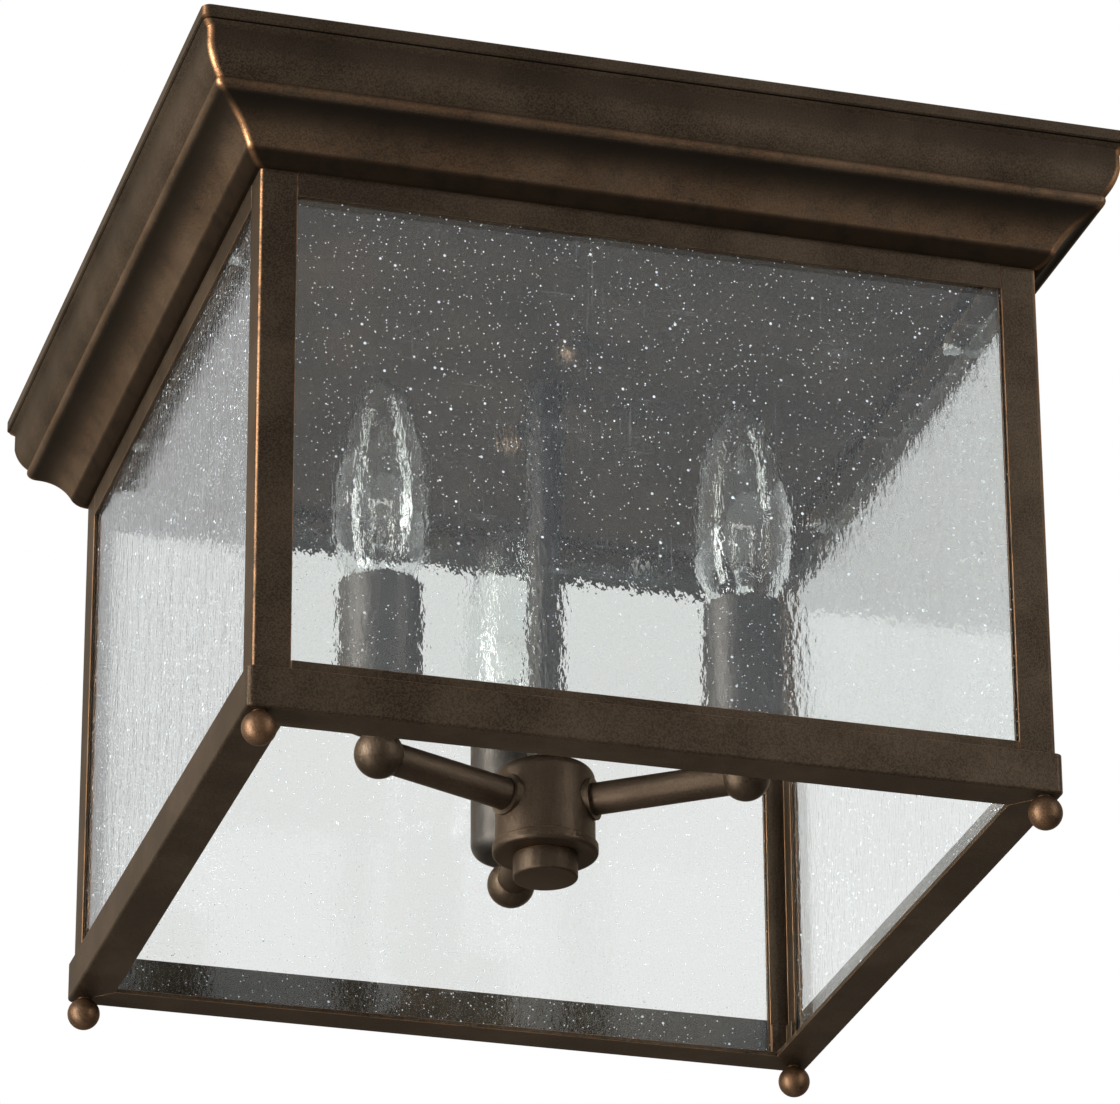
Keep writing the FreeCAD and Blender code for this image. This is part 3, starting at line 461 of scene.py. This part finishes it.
def canopy_rub_and_painted_highlight(point, mark):
    """Copper rubbed through on the mitres, less in the painted shade under the listel, and a faint
    painted highlight in copper along the listel.
    """
    depth = -point.z
    off_mitre = abs(abs(point.x) - abs(point.y)) / CANOPY_CORNER
    under_listel = fade(depth, 0.0240, 0.0250) * (1 - fade(depth, 0.0262, 0.0300))
    mitre = (1 - fade(off_mitre, 0.1, 0.95)) * (1 - 0.85 * under_listel)
    # A painted highlight along the listel, drawn as a faint copper rub.
    listel = 0.07 * fade(depth, 0.0208, 0.0222) * (1 - fade(depth, 0.0232, 0.0246))
    return max(mitre * (0.25 if depth < GROOVE_TOP else 0.55), listel)


mark_finish(canopy, "painted_shade", canopy_painted_shade)
mark_finish(canopy, "rub_and_highlight", canopy_rub_and_painted_highlight)
apply_modifier(canopy, "SOLIDIFY", thickness=CANOPY_SHEET, offset=-1, use_even_offset=True)
smooth(canopy)
fit(canopy, "bronze_sheet", "canopy_pan")


# ---------------------------------------------------------------- cage
# Folded angles: four posts, the top rails between them, sill bars at the panes' feet, and inner
# strips and brackets that trap the glass. The posts' outer corners are rubbed to copper.
FLAT_ANGLE = math.radians(1)


def eased_copy(node, name, finish, width, worn=None):
    """A copy of the node's mesh with its seams merged and its edges eased."""
    piece = frame["nodes"][node].copy()
    piece.data = piece.data.copy()
    piece.parent = None
    piece.name = name
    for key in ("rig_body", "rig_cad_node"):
        del piece[key]
    bpy.context.scene.collection.objects.link(piece)
    only(piece)
    bpy.ops.object.mode_set(mode="EDIT")
    bpy.ops.mesh.select_all(action="SELECT")
    bpy.ops.mesh.remove_doubles(threshold=SEAM)
    bpy.ops.mesh.dissolve_limited(angle_limit=FLAT_ANGLE)
    bpy.ops.object.mode_set(mode="OBJECT")
    ease_edges(piece, finish, width)
    mark_finish(piece, "rub_and_highlight", worn or (lambda point, mark: mark * 0.3))
    return piece


SIDES = ("front", "right", "back", "left")
CORNERS = ("front_left", "front_right", "back_right", "back_left")
post_foot, post_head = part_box("corner_post_front_right")


POST_CORNER = 0.00075


def post_rub(point, mark):
    """Copper on a post's outer corner, most of all near the canopy."""
    if min(abs(point.x), abs(point.y)) < post_head.x - POST_CORNER:
        return mark * 0.2
    return 0.12 + 0.40 * (point.z - post_foot.z) / (post_head.z - post_foot.z)


for corner in CORNERS:
    post = eased_copy(f"corner_post_{corner}", f"post_{corner}", SHEET_BRONZE, 0.0004, post_rub)
    fit(post, "bronze_sheet", f"corner_post_{corner}")
    strip = eased_copy(f"corner_strip_{corner}", f"strip_{corner}", SHEET_BRONZE, 0.0002)
    fit(strip, "bronze_inside", f"corner_strip_{corner}")
for side in SIDES:
    rail = eased_copy(f"top_rail_{side}", f"rail_{side}", SHEET_BRONZE, 0.0003)
    fit(rail, "bronze_sheet", f"top_rail_{side}")
    base = eased_copy(f"frame_rail_{side}", f"bottom_frame_{side}", SHEET_BRONZE, 0.0004)
    fit(base, "bronze_sheet", f"frame_rail_{side}")
fit(eased_copy("sill_bars", "sills", SHEET_BRONZE, 0.0003), "bronze_sheet", "sill_bars")
fit(eased_copy("corner_brackets", "brackets", SHEET_BRONZE, 0.0003), "bronze_inside",
    "corner_brackets")
fit(eased_copy("ceiling_plate", "ceiling_panel", SHEET_BRONZE, 0.0002), "bronze_sheet",
    "ceiling_plate")


# ---------------------------------------------------------------- panes
# Seeded glass: clear, hand-drawn sheet with small bubbles all through it and a fine wave that
# breaks up what is seen behind.
PANE_TINT = (0.89, 0.91, 0.90, 1)
PANE_SHEEN = (0.86, 0.93, 1.0, 1)
PANE_SKIN = (0.36, 0.39, 0.41, 1)


def lamps_pass(wire, glass, tint):
    """The same glass, which lets the lamps shine through."""
    shadow = wire.node("ShaderNodeLightPath", {}, {}, output="Is Shadow Ray")
    open_glass = wire.node("ShaderNodeBsdfTransparent", {}, {"Color": tint})
    return wire.node("ShaderNodeMixShader", {}, {0: shadow, 1: glass, 2: open_glass})


def seeded_glass():
    """Clear glass with waves, and a thin skin of seeds, roller marks and haze on it."""
    made, wire = material("seeded glass")
    place = wire.node("ShaderNodeTexCoord", {}, {}, output="Object")
    drawn = wire.node("ShaderNodeMapping", {}, {"Vector": place, "Scale": (1, 1, 0.45)})

    def noise(scale, detail, vector=drawn):
        return wire.node("ShaderNodeTexNoise", {},
                         {"Vector": vector, "Scale": scale, "Detail": detail})

    def bubbles(scale, size):
        distance = wire.node("ShaderNodeTexVoronoi", {}, {"Vector": place, "Scale": scale})
        return 1 - distance.rise(size * 0.7, size)

    def hairlines(stretch, scale):
        """Fine marks of the drawing rollers."""
        along = wire.node("ShaderNodeMapping", {}, {"Vector": place, "Scale": stretch})
        return noise(scale, 2, along).rise(0.66, 0.72) * noise(45, 2, place).rise(0.52, 0.60)

    waves = noise(90, 2) * 0.62 + noise(620, 2) * 0.38
    bend = wire.node("ShaderNodeBump", {}, {"Height": waves, "Strength": 1.0,
                                            "Distance": 0.00013})
    seeds = wire.math("MAXIMUM", bubbles(480, 0.11), wire.math("MAXIMUM", bubbles(270, 0.085),
                                                             bubbles(130, 0.07)))
    marks = wire.math("MAXIMUM", hairlines((1, 1, 0.02), 1500), hairlines((0.03, 0.03, 1), 1500))
    haze = noise(1300, 3, place).rise(0.52, 0.66) * (0.015 + noise(14, 2, place) * 0.09)
    cover = wire.math("MAXIMUM", wire.math("MAXIMUM", seeds, marks * 0.12), haze)
    clear = wire.node("ShaderNodeBsdfPrincipled", {}, {
        "Base Color": PANE_TINT, "Roughness": 0.0, "IOR": 1.5,
        "Specular Tint": PANE_SHEEN, "Transmission Weight": 1.0, "Normal": bend})
    skin = wire.node("ShaderNodeBsdfDiffuse", {}, {"Color": PANE_SKIN})
    pane = wire.node("ShaderNodeMixShader", {}, {0: cover, 1: clear, 2: skin})
    return show(made, lamps_pass(wire, pane, PANE_TINT))


SEEDED_GLASS = seeded_glass()
for side in SIDES:
    pane = eased_copy(f"glass_{side}", f"pane_{side}", SEEDED_GLASS, 0.0003)
    fit(pane, "seeded_glass", f"glass_{side}")

# ---------------------------------------------------------------- finials
# Turned ball finials screwed up through the bottom frame's corners, with copper rubbed through
# evenly all over.
TURNED_BRONZE = bronze("turned bronze", (0.013, 0.0083, 0.0048), (0.042, 0.0275, 0.018), 0.5)
CUP_BRONZE = bronze("cup bronze", (0.009, 0.008, 0.0072), (0.027, 0.025, 0.0235), 0.3)


def place_at(piece, x, y):
    """Sets a piece that was turned on the Z axis at its own place."""
    only(piece)
    piece.location = (x, y, 0)
    bpy.ops.object.transform_apply(location=True)


def turned(name, profile, finish, sides=48):
    """A turned piece on the Z axis, painted and smooth."""
    piece = draw_rings(name, profile, sides)
    paint(piece, finish)
    smooth(piece)
    return piece


SHANK = 0.00125
FINIAL_NECK = 0.44
FINIAL_RUB = 0.18
frame_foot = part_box("frame_rail_front")[0].z
for corner in CORNERS:
    low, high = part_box(f"ball_finial_{corner}")
    radius = (high.x - low.x) / 2
    centre = low.z + radius
    ball = [(radius * math.sin(math.radians(a)), centre - radius * math.cos(math.radians(a)))
            for a in range(0, 155, 8)]
    ball += [(radius * FINIAL_NECK, frame_foot - 0.0005), (radius * FINIAL_NECK, frame_foot),
             (SHANK, frame_foot), (SHANK, high.z), (0, high.z)]
    finial = turned(f"finial_{corner}", ball, TURNED_BRONZE, sides=40)
    mark_finish(finial, "rub_and_highlight", lambda point, mark: FINIAL_RUB)
    place_at(finial, (low.x + high.x) / 2, (low.y + high.y) / 2)
    fit(finial, "bronze_turned", f"ball_finial_{corner}", body=f"finial_{corner}")

# ---------------------------------------------------------------- stem and hub
# The stem tube hangs from the ceiling plate by a threaded nipple and a hexagon lock nut. The hub
# is turned, with a collar round each arm and a cap that the knob under it holds.
for node, width, finish in (("stem_tube", 0.0003, CUP_BRONZE), ("hub_body", 0.0005, TURNED_BRONZE),
                            ("hub_cap", 0.0004, TURNED_BRONZE)):
    fit(eased_copy(node, f"{node}_turned", finish, width), "bronze_turned", node)
knob = eased_copy("hub_knob", "knob", TURNED_BRONZE, 0.0005, lambda point, mark: mark * 0.8)
fit(knob, "bronze_turned", "hub_knob", body="hub_knob")


def metal(name, colour, roughness, coarseness):
    """Plated metal, a little cloudy, with fine marks of its making."""
    made, wire = material(name)
    place = wire.node("ShaderNodeTexCoord", {}, {}, output="Object")
    cloud = wire.node("ShaderNodeTexNoise", {}, {"Vector": place, "Scale": coarseness,
                                                 "Detail": 4}).rise(0.3, 0.7)
    fine = wire.node("ShaderNodeTexNoise", {}, {"Vector": place, "Scale": 1800})
    tone = cloud.mix((*(c * 0.72 for c in colour), 1), (*colour, 1))
    relief = wire.node("ShaderNodeBump", {}, {"Height": fine, "Strength": 0.2,
                                              "Distance": 0.00005})
    return show(made, wire.node("ShaderNodeBsdfPrincipled", {}, {
        "Base Color": tone, "Metallic": 1.0, "Roughness": roughness + cloud * 0.12,
        "Normal": relief}))


ZINC_STEEL = metal("zinc plated steel", (0.55, 0.56, 0.55), 0.34, 300)
BRASS = metal("brass", (0.62, 0.45, 0.20), 0.28, 260)


def threaded(name, radius, low, high, pitch, finish, bore=0):
    """A threaded rod on the Z axis, or a nipple where it has a bore."""
    depth = pitch * 0.45
    profile = [(bore, low), (radius - depth, low)]
    turns = int((high - low) / pitch)
    for turn in range(turns):
        level = low + (high - low) * (turn + 0.25) / turns
        profile += [(radius - depth, level), (radius, level + pitch * 0.35)]
    profile += [(radius - depth, high), (bore, high)]
    if bore:
        profile.append((bore, low))
    return turned(name, profile, finish, sides=24)


NIPPLE_RADIUS = 0.00475
NIPPLE_BORE = 0.0034
NIPPLE_PITCH = 0.00094
NIPPLE_BELOW_NUT = 0.017
SOCKET_NIPPLE_RADIUS = 0.0036
SOCKET_NIPPLE_BORE = 0.0026
nut_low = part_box("stem_lock_nut")[0]
fit(eased_copy("stem_lock_nut", "lock_nut", ZINC_STEEL, 0.0003), "zinc_steel", "stem_lock_nut")
nipple_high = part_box("threaded_nipples")[1].z
stem_nipple = threaded("stem_nipple", NIPPLE_RADIUS, nut_low.z - NIPPLE_BELOW_NUT, nipple_high,
                       NIPPLE_PITCH, BRASS, NIPPLE_BORE)
fit(stem_nipple, "brass", "threaded_nipples")

# ---------------------------------------------------------------- hanging hardware
# A zinc-plated strap is bolted to the ceiling box. Two long studs hang the canopy from it, with
# domed nuts under the ceiling plate, and a green screw takes the ground wire.
fit(eased_copy("mounting_strap", "strap", ZINC_STEEL, 0.0003), "zinc_steel", "mounting_strap")
STUD_PITCH = 0.0008
stud_low, stud_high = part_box("strap_studs")
stud_radius = stud_high.x
stud_place = stud_high.y - stud_radius
for sign in (-1, 1):
    stud = threaded(f"stud_{'front' if sign < 0 else 'back'}", stud_radius, stud_low.z,
                    stud_high.z, STUD_PITCH, ZINC_STEEL)
    place_at(stud, 0, stud_place * sign)
    fit(stud, "zinc_steel", "strap_studs")
for side in ("front", "back"):
    nut = eased_copy(f"cap_nut_{side}", f"domed_nut_{side}", TURNED_BRONZE, 0.0003)
    fit(nut, "bronze_turned", f"cap_nut_{side}", body=f"cap_nut_{side}")
fit(eased_copy("cage_screws", "screws", ZINC_STEEL, 0.0002), "zinc_steel", "cage_screws")

GROUND_HEAD = 0.0024
GROUND_SHANK = 0.0018
GREEN_SCREW = metal("green ground screw", (0.03, 0.26, 0.09), 0.36, 400)
screw_low, screw_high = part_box("ground_screw")
head_radius = (screw_high.x - screw_low.x) / 2
head_foot = screw_low.z
head_top = head_foot + GROUND_HEAD
ground_screw = turned("ground_screw_head", [
    (0, head_foot), (head_radius * 0.8, head_foot), (head_radius, head_foot + 0.0005),
    (head_radius, head_top), (GROUND_SHANK, head_top), (GROUND_SHANK, screw_high.z),
    (0, screw_high.z)], GREEN_SCREW)
place_at(ground_screw, 0, (screw_low.y + screw_high.y) / 2)
fit(ground_screw, "ground_screw", "ground_screw")

# ---------------------------------------------------------------- arms, balls and candle cups
# Three tube arms screw into hollow balls. A short brass nipple on each ball carries a plain
# bronze candle cup with a rounded foot, and the lamp socket inside it.
for number in (1, 2, 3):
    for node, width, finish in (("arm", 0.0002, TURNED_BRONZE), ("arm_ball", 0.0003, TURNED_BRONZE),
                                ("candle_cup", 0.0004, CUP_BRONZE)):
        fit(eased_copy(f"{node}_{number}", f"{node}_turned_{number}", finish, width),
            "bronze_turned", f"{node}_{number}")
    cup_low, cup_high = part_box(f"candle_cup_{number}")
    ball_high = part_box(f"arm_ball_{number}")[1]
    riser = threaded(f"cup_nipple_{number}", SOCKET_NIPPLE_RADIUS, ball_high.z - 0.0023,
                     cup_low.z + 0.0068, NIPPLE_PITCH, BRASS, SOCKET_NIPPLE_BORE)
    place_at(riser, (cup_low.x + cup_high.x) / 2, (cup_low.y + cup_high.y) / 2)
    fit(riser, "brass", "threaded_nipples")


def moulded(name, colour, roughness, fleck):
    """Moulded plastic or insulation with a faint uneven gloss."""
    made, wire = material(name)
    place = wire.node("ShaderNodeTexCoord", {}, {}, output="Object")
    cloud = wire.node("ShaderNodeTexNoise", {}, {"Vector": place, "Scale": 220, "Detail": 3})
    fine = wire.node("ShaderNodeTexNoise", {}, {"Vector": place, "Scale": 2200})
    tone = cloud.rise(0.3, 0.7).mix((*colour, 1), (*(c * fleck for c in colour), 1))
    relief = wire.node("ShaderNodeBump", {}, {"Height": fine, "Strength": 0.25,
                                              "Distance": 0.00005})
    return show(made, wire.node("ShaderNodeBsdfPrincipled", {}, {
        "Base Color": tone, "Roughness": roughness + cloud * 0.1, "Normal": relief}))


SOCKET_BLACK = moulded("socket insulation", (0.022, 0.020, 0.019), 0.45, 1.6)
for number in (1, 2, 3):
    fit(eased_copy(f"lamp_socket_{number}", f"socket_{number}", SOCKET_BLACK, 0.0004),
        "socket_insulation", f"lamp_socket_{number}")


# ---------------------------------------------------------------- bulbs
# Clear torpedo bulbs: a blown glass envelope on a rolled-thread nickel base, with a glass stem
# inside whose two lead wires hold a coiled filament.
def bulb_glass():
    """Clear blown glass with a slow ripple."""
    made, wire = material("bulb glass")
    place = wire.node("ShaderNodeTexCoord", {}, {}, output="Object")
    ripple = wire.node("ShaderNodeTexNoise", {}, {"Vector": place, "Scale": 60, "Detail": 1})
    bend = wire.node("ShaderNodeBump", {}, {"Height": ripple, "Strength": 0.5,
                                            "Distance": 0.0001})
    clear = wire.node("ShaderNodeBsdfPrincipled", {}, {
        "Base Color": (0.97, 0.985, 0.98, 1), "Roughness": 0.0, "IOR": 1.5,
        "Transmission Weight": 1.0, "Normal": bend})
    return show(made, lamps_pass(wire, clear, (0.95, 0.95, 0.95, 1)))


BULB_GLASS = bulb_glass()
NICKEL = metal("nickel plated base", (0.66, 0.63, 0.57), 0.25, 350)
TUNGSTEN = metal("tungsten wire", (0.75, 0.72, 0.68), 0.22, 500)
BASE_INSULATOR = moulded("black glass insulator", (0.012, 0.012, 0.014), 0.15, 1.4)
BULB_WALL = 0.0006
# The radius and height at which each curve of the glass ends, and that curve's own radius.
BULB_CURVES = (((0.0139, 0.0129), 0.0287), ((0.0161, 0.0299), 0.064), ((0.0096, 0.0652), 0.0977),
               ((0.0014, 0.0762), 0.025))
BULB_CLOSED_ABOVE = 0.07
BASE_RADIUS = 0.00595
NECK_RADIUS = BASE_RADIUS - 0.0003
PRESS_ABOVE = 0.010
PRESS_FLATNESS = 0.45
LEAD_SPREAD = 0.0030
LEAD_HEIGHT = 0.0322
LEAD_RADIUS = 0.00025
LEAD_HEAD_RADIUS = 0.0004
COIL_RADIUS = 0.00055
COIL_WIRE = 0.00014
COIL_TURNS = 12
COIL_STEPS = 14
BASE_TAPER = 0.0038
THREAD_PITCH = 0.00254
THREAD_DEPTH = 0.0005
THREAD_STEPS = 46


def envelope(top, inset):
    """The glass's outline from the neck up to the tip."""
    points = [(NECK_RADIUS - inset, top)]
    for (radius, height), curve in BULB_CURVES:
        end = (radius - inset, top + height - (inset if height > BULB_CLOSED_ABOVE else 0))
        points += arc(points[-1], end, curve, 10)
    return points + [(0, points[-1][1])]


def rolled_thread(taper, top):
    """The screw base's outline: a closed foot, the rolled thread and a rim that holds the glass."""
    outline = [(0, taper - 0.0008), (0.0046, taper - 0.0008), (0.0052, taper - 0.0002)]
    for step in range(THREAD_STEPS + 1):
        level = taper + (top - 0.0008 - taper) * step / THREAD_STEPS
        wave = math.cos((level - taper) / THREAD_PITCH * 2 * math.pi) * 0.5 - 0.5
        outline.append((BASE_RADIUS + wave * THREAD_DEPTH * 2, level))
    return outline + [(BASE_RADIUS - 0.0002, top - 0.0006), (BASE_RADIUS, top - 0.0003),
                      (BASE_RADIUS - 0.0002, top), (0.0046, top), (0.0046, top - 0.0006),
                      (0, top - 0.0006)]


def carry(piece, body):
    """The piece, which stands for no CAD node, moves with the body."""
    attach(piece, body)


for number in (1, 2, 3):
    glass_low, glass_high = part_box(f"bulb_glass_{number}")
    base_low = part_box(f"bulb_base_{number}")[0]
    candle = ((glass_low.x + glass_high.x) / 2, (glass_low.y + glass_high.y) / 2)
    top = glass_low.z
    walls = envelope(top, 0)[::-1] + envelope(top, BULB_WALL)
    bulb = draw_rings(f"bulb_{number}", walls, sides=64)
    paint(bulb, BULB_GLASS)
    smooth(bulb, 50)
    place_at(bulb, *candle)
    fit(bulb, "bulb_glass", f"bulb_glass_{number}", body=f"bulb_{number}_glass")

    press = turned(f"glass_stem_{number}", [
        (0, top + 0.0004), (0.0044, top + 0.0004), (0.0042, top + 0.0010), (0.0031, top + 0.0040),
        (0.0025, top + 0.0090), (0.0027, top + 0.0120), (0.0034, top + 0.0150),
        (0.0032, top + 0.0168), (0, top + 0.0172)], BULB_GLASS, sides=32)
    only(press)
    bpy.ops.object.mode_set(mode="EDIT")
    pick(press, "FACE", lambda face: face.calc_center_median().z > top + PRESS_ABOVE)
    bpy.ops.transform.resize(value=(1, PRESS_FLATNESS, 1), center_override=(0, 0, 0))
    bpy.ops.object.mode_set(mode="OBJECT")
    place_at(press, *candle)
    carry(press, f"bulb_{number}_base")

    lead_top = top + LEAD_HEIGHT
    for sign in (-1, 1):
        lead = turned(f"lead_{number}_{'left' if sign < 0 else 'right'}", [
            (0, top + 0.0150), (LEAD_RADIUS, top + 0.0150), (LEAD_RADIUS, lead_top - 0.0008),
            (LEAD_HEAD_RADIUS, lead_top - 0.0005), (LEAD_HEAD_RADIUS, lead_top),
            (0, lead_top + 0.0002)], TUNGSTEN, sides=10)
        place_at(lead, candle[0] + sign * LEAD_SPREAD, candle[1])
        carry(lead, f"bulb_{number}_base")

    bpy.ops.object.select_all(action="DESELECT")
    bpy.ops.mesh.primitive_circle_add(vertices=6, radius=COIL_WIRE, location=(COIL_RADIUS, 0, 0),
                                      rotation=(math.radians(90), 0, 0))
    filament = bpy.context.object
    filament.name = f"filament_{number}"
    bpy.ops.object.transform_apply(location=True, rotation=True)
    apply_modifier(filament, "SCREW", axis="Z", angle=math.radians(360), steps=COIL_STEPS,
                   render_steps=COIL_STEPS, screw_offset=LEAD_SPREAD * 2 / COIL_TURNS,
                   iterations=COIL_TURNS, use_merge_vertices=True)
    only(filament)
    bpy.ops.object.mode_set(mode="EDIT")
    bpy.ops.mesh.select_all(action="SELECT")
    bpy.ops.mesh.fill_holes(sides=6)
    bpy.ops.mesh.normals_make_consistent(inside=False)
    bpy.ops.object.mode_set(mode="OBJECT")
    filament.rotation_euler = (0, math.radians(90), 0)
    filament.location = (candle[0] - LEAD_SPREAD, candle[1], lead_top - 0.0004)
    bpy.ops.object.transform_apply(location=True, rotation=True)
    paint(filament, TUNGSTEN)
    smooth(filament)
    carry(filament, f"bulb_{number}_base")

    taper = base_low.z + BASE_TAPER
    base = turned(f"screw_base_{number}", rolled_thread(taper, top), NICKEL)
    place_at(base, *candle)
    fit(base, "bulb_base", f"bulb_base_{number}", body=f"bulb_{number}_base")
    insulator = turned(f"base_insulator_{number}", [
        (0, base_low.z + 0.0006), (0.0026, base_low.z + 0.0006), (0.0031, base_low.z + 0.0012),
        (0.0047, taper - 0.0006), (0, taper - 0.0006)], BASE_INSULATOR)
    place_at(insulator, *candle)
    carry(insulator, f"bulb_{number}_base")
    contact = turned(f"base_contact_{number}", [
        (0, base_low.z), (0.0014, base_low.z + 0.0001), (0.0020, base_low.z + 0.0005),
        (0.0021, base_low.z + 0.0009), (0, base_low.z + 0.0009)], BRASS)
    place_at(contact, *candle)
    carry(contact, f"bulb_{number}_base")

# ---------------------------------------------------------------- wiring
# Sleeved lamp wires run from the sockets through arms and stem up to a ribbed twist-on connector.
WIRE_SLEEVE = moulded("wire sleeve", (0.020, 0.020, 0.022), 0.38, 1.5)
fit(eased_copy("lamp_wires", "wires", WIRE_SLEEVE, 0.00005), "wire", "lamp_wires")
CONNECTOR_PLASTIC = moulded("connector plastic", (0.62, 0.16, 0.025), 0.36, 0.82)
CONNECTOR_SIDES = 48
splice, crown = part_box("wire_connector")
foot_radius = -splice.x
connector = turned("twist_connector", [
    (0, splice.z + 0.006), (foot_radius - 0.0012, splice.z + 0.006),
    (foot_radius - 0.0010, splice.z), (foot_radius - 0.0003, splice.z),
    (foot_radius, splice.z + 0.0005), (foot_radius - 0.0001, splice.z + 0.0035),
    (foot_radius - 0.0006, splice.z + 0.0045), (0.0051, crown.z - 0.0016),
    (0.0046, crown.z - 0.0004), (0.0038, crown.z), (0, crown.z)], CONNECTOR_PLASTIC,
    sides=CONNECTOR_SIDES)


def between_ribs(face):
    """Picks every third face round the connector's grip."""
    middle = face.calc_center_median()
    on_grip = splice.z + 0.005 < middle.z < crown.z - 0.002 and middle.xy.length > 0.004
    turn = (math.atan2(middle.y, middle.x) + math.pi) / (2 * math.pi)
    return on_grip and face.normal.z < 0.6 and int(turn * CONNECTOR_SIDES) % 3 == 0


only(connector)
bpy.ops.object.mode_set(mode="EDIT")
pick(connector, "FACE", between_ribs)
bpy.ops.mesh.inset(thickness=0.00008, depth=-0.00035, use_individual=False)
bpy.ops.object.mode_set(mode="OBJECT")
smooth(connector, 30)
fit(connector, "connector", "wire_connector")
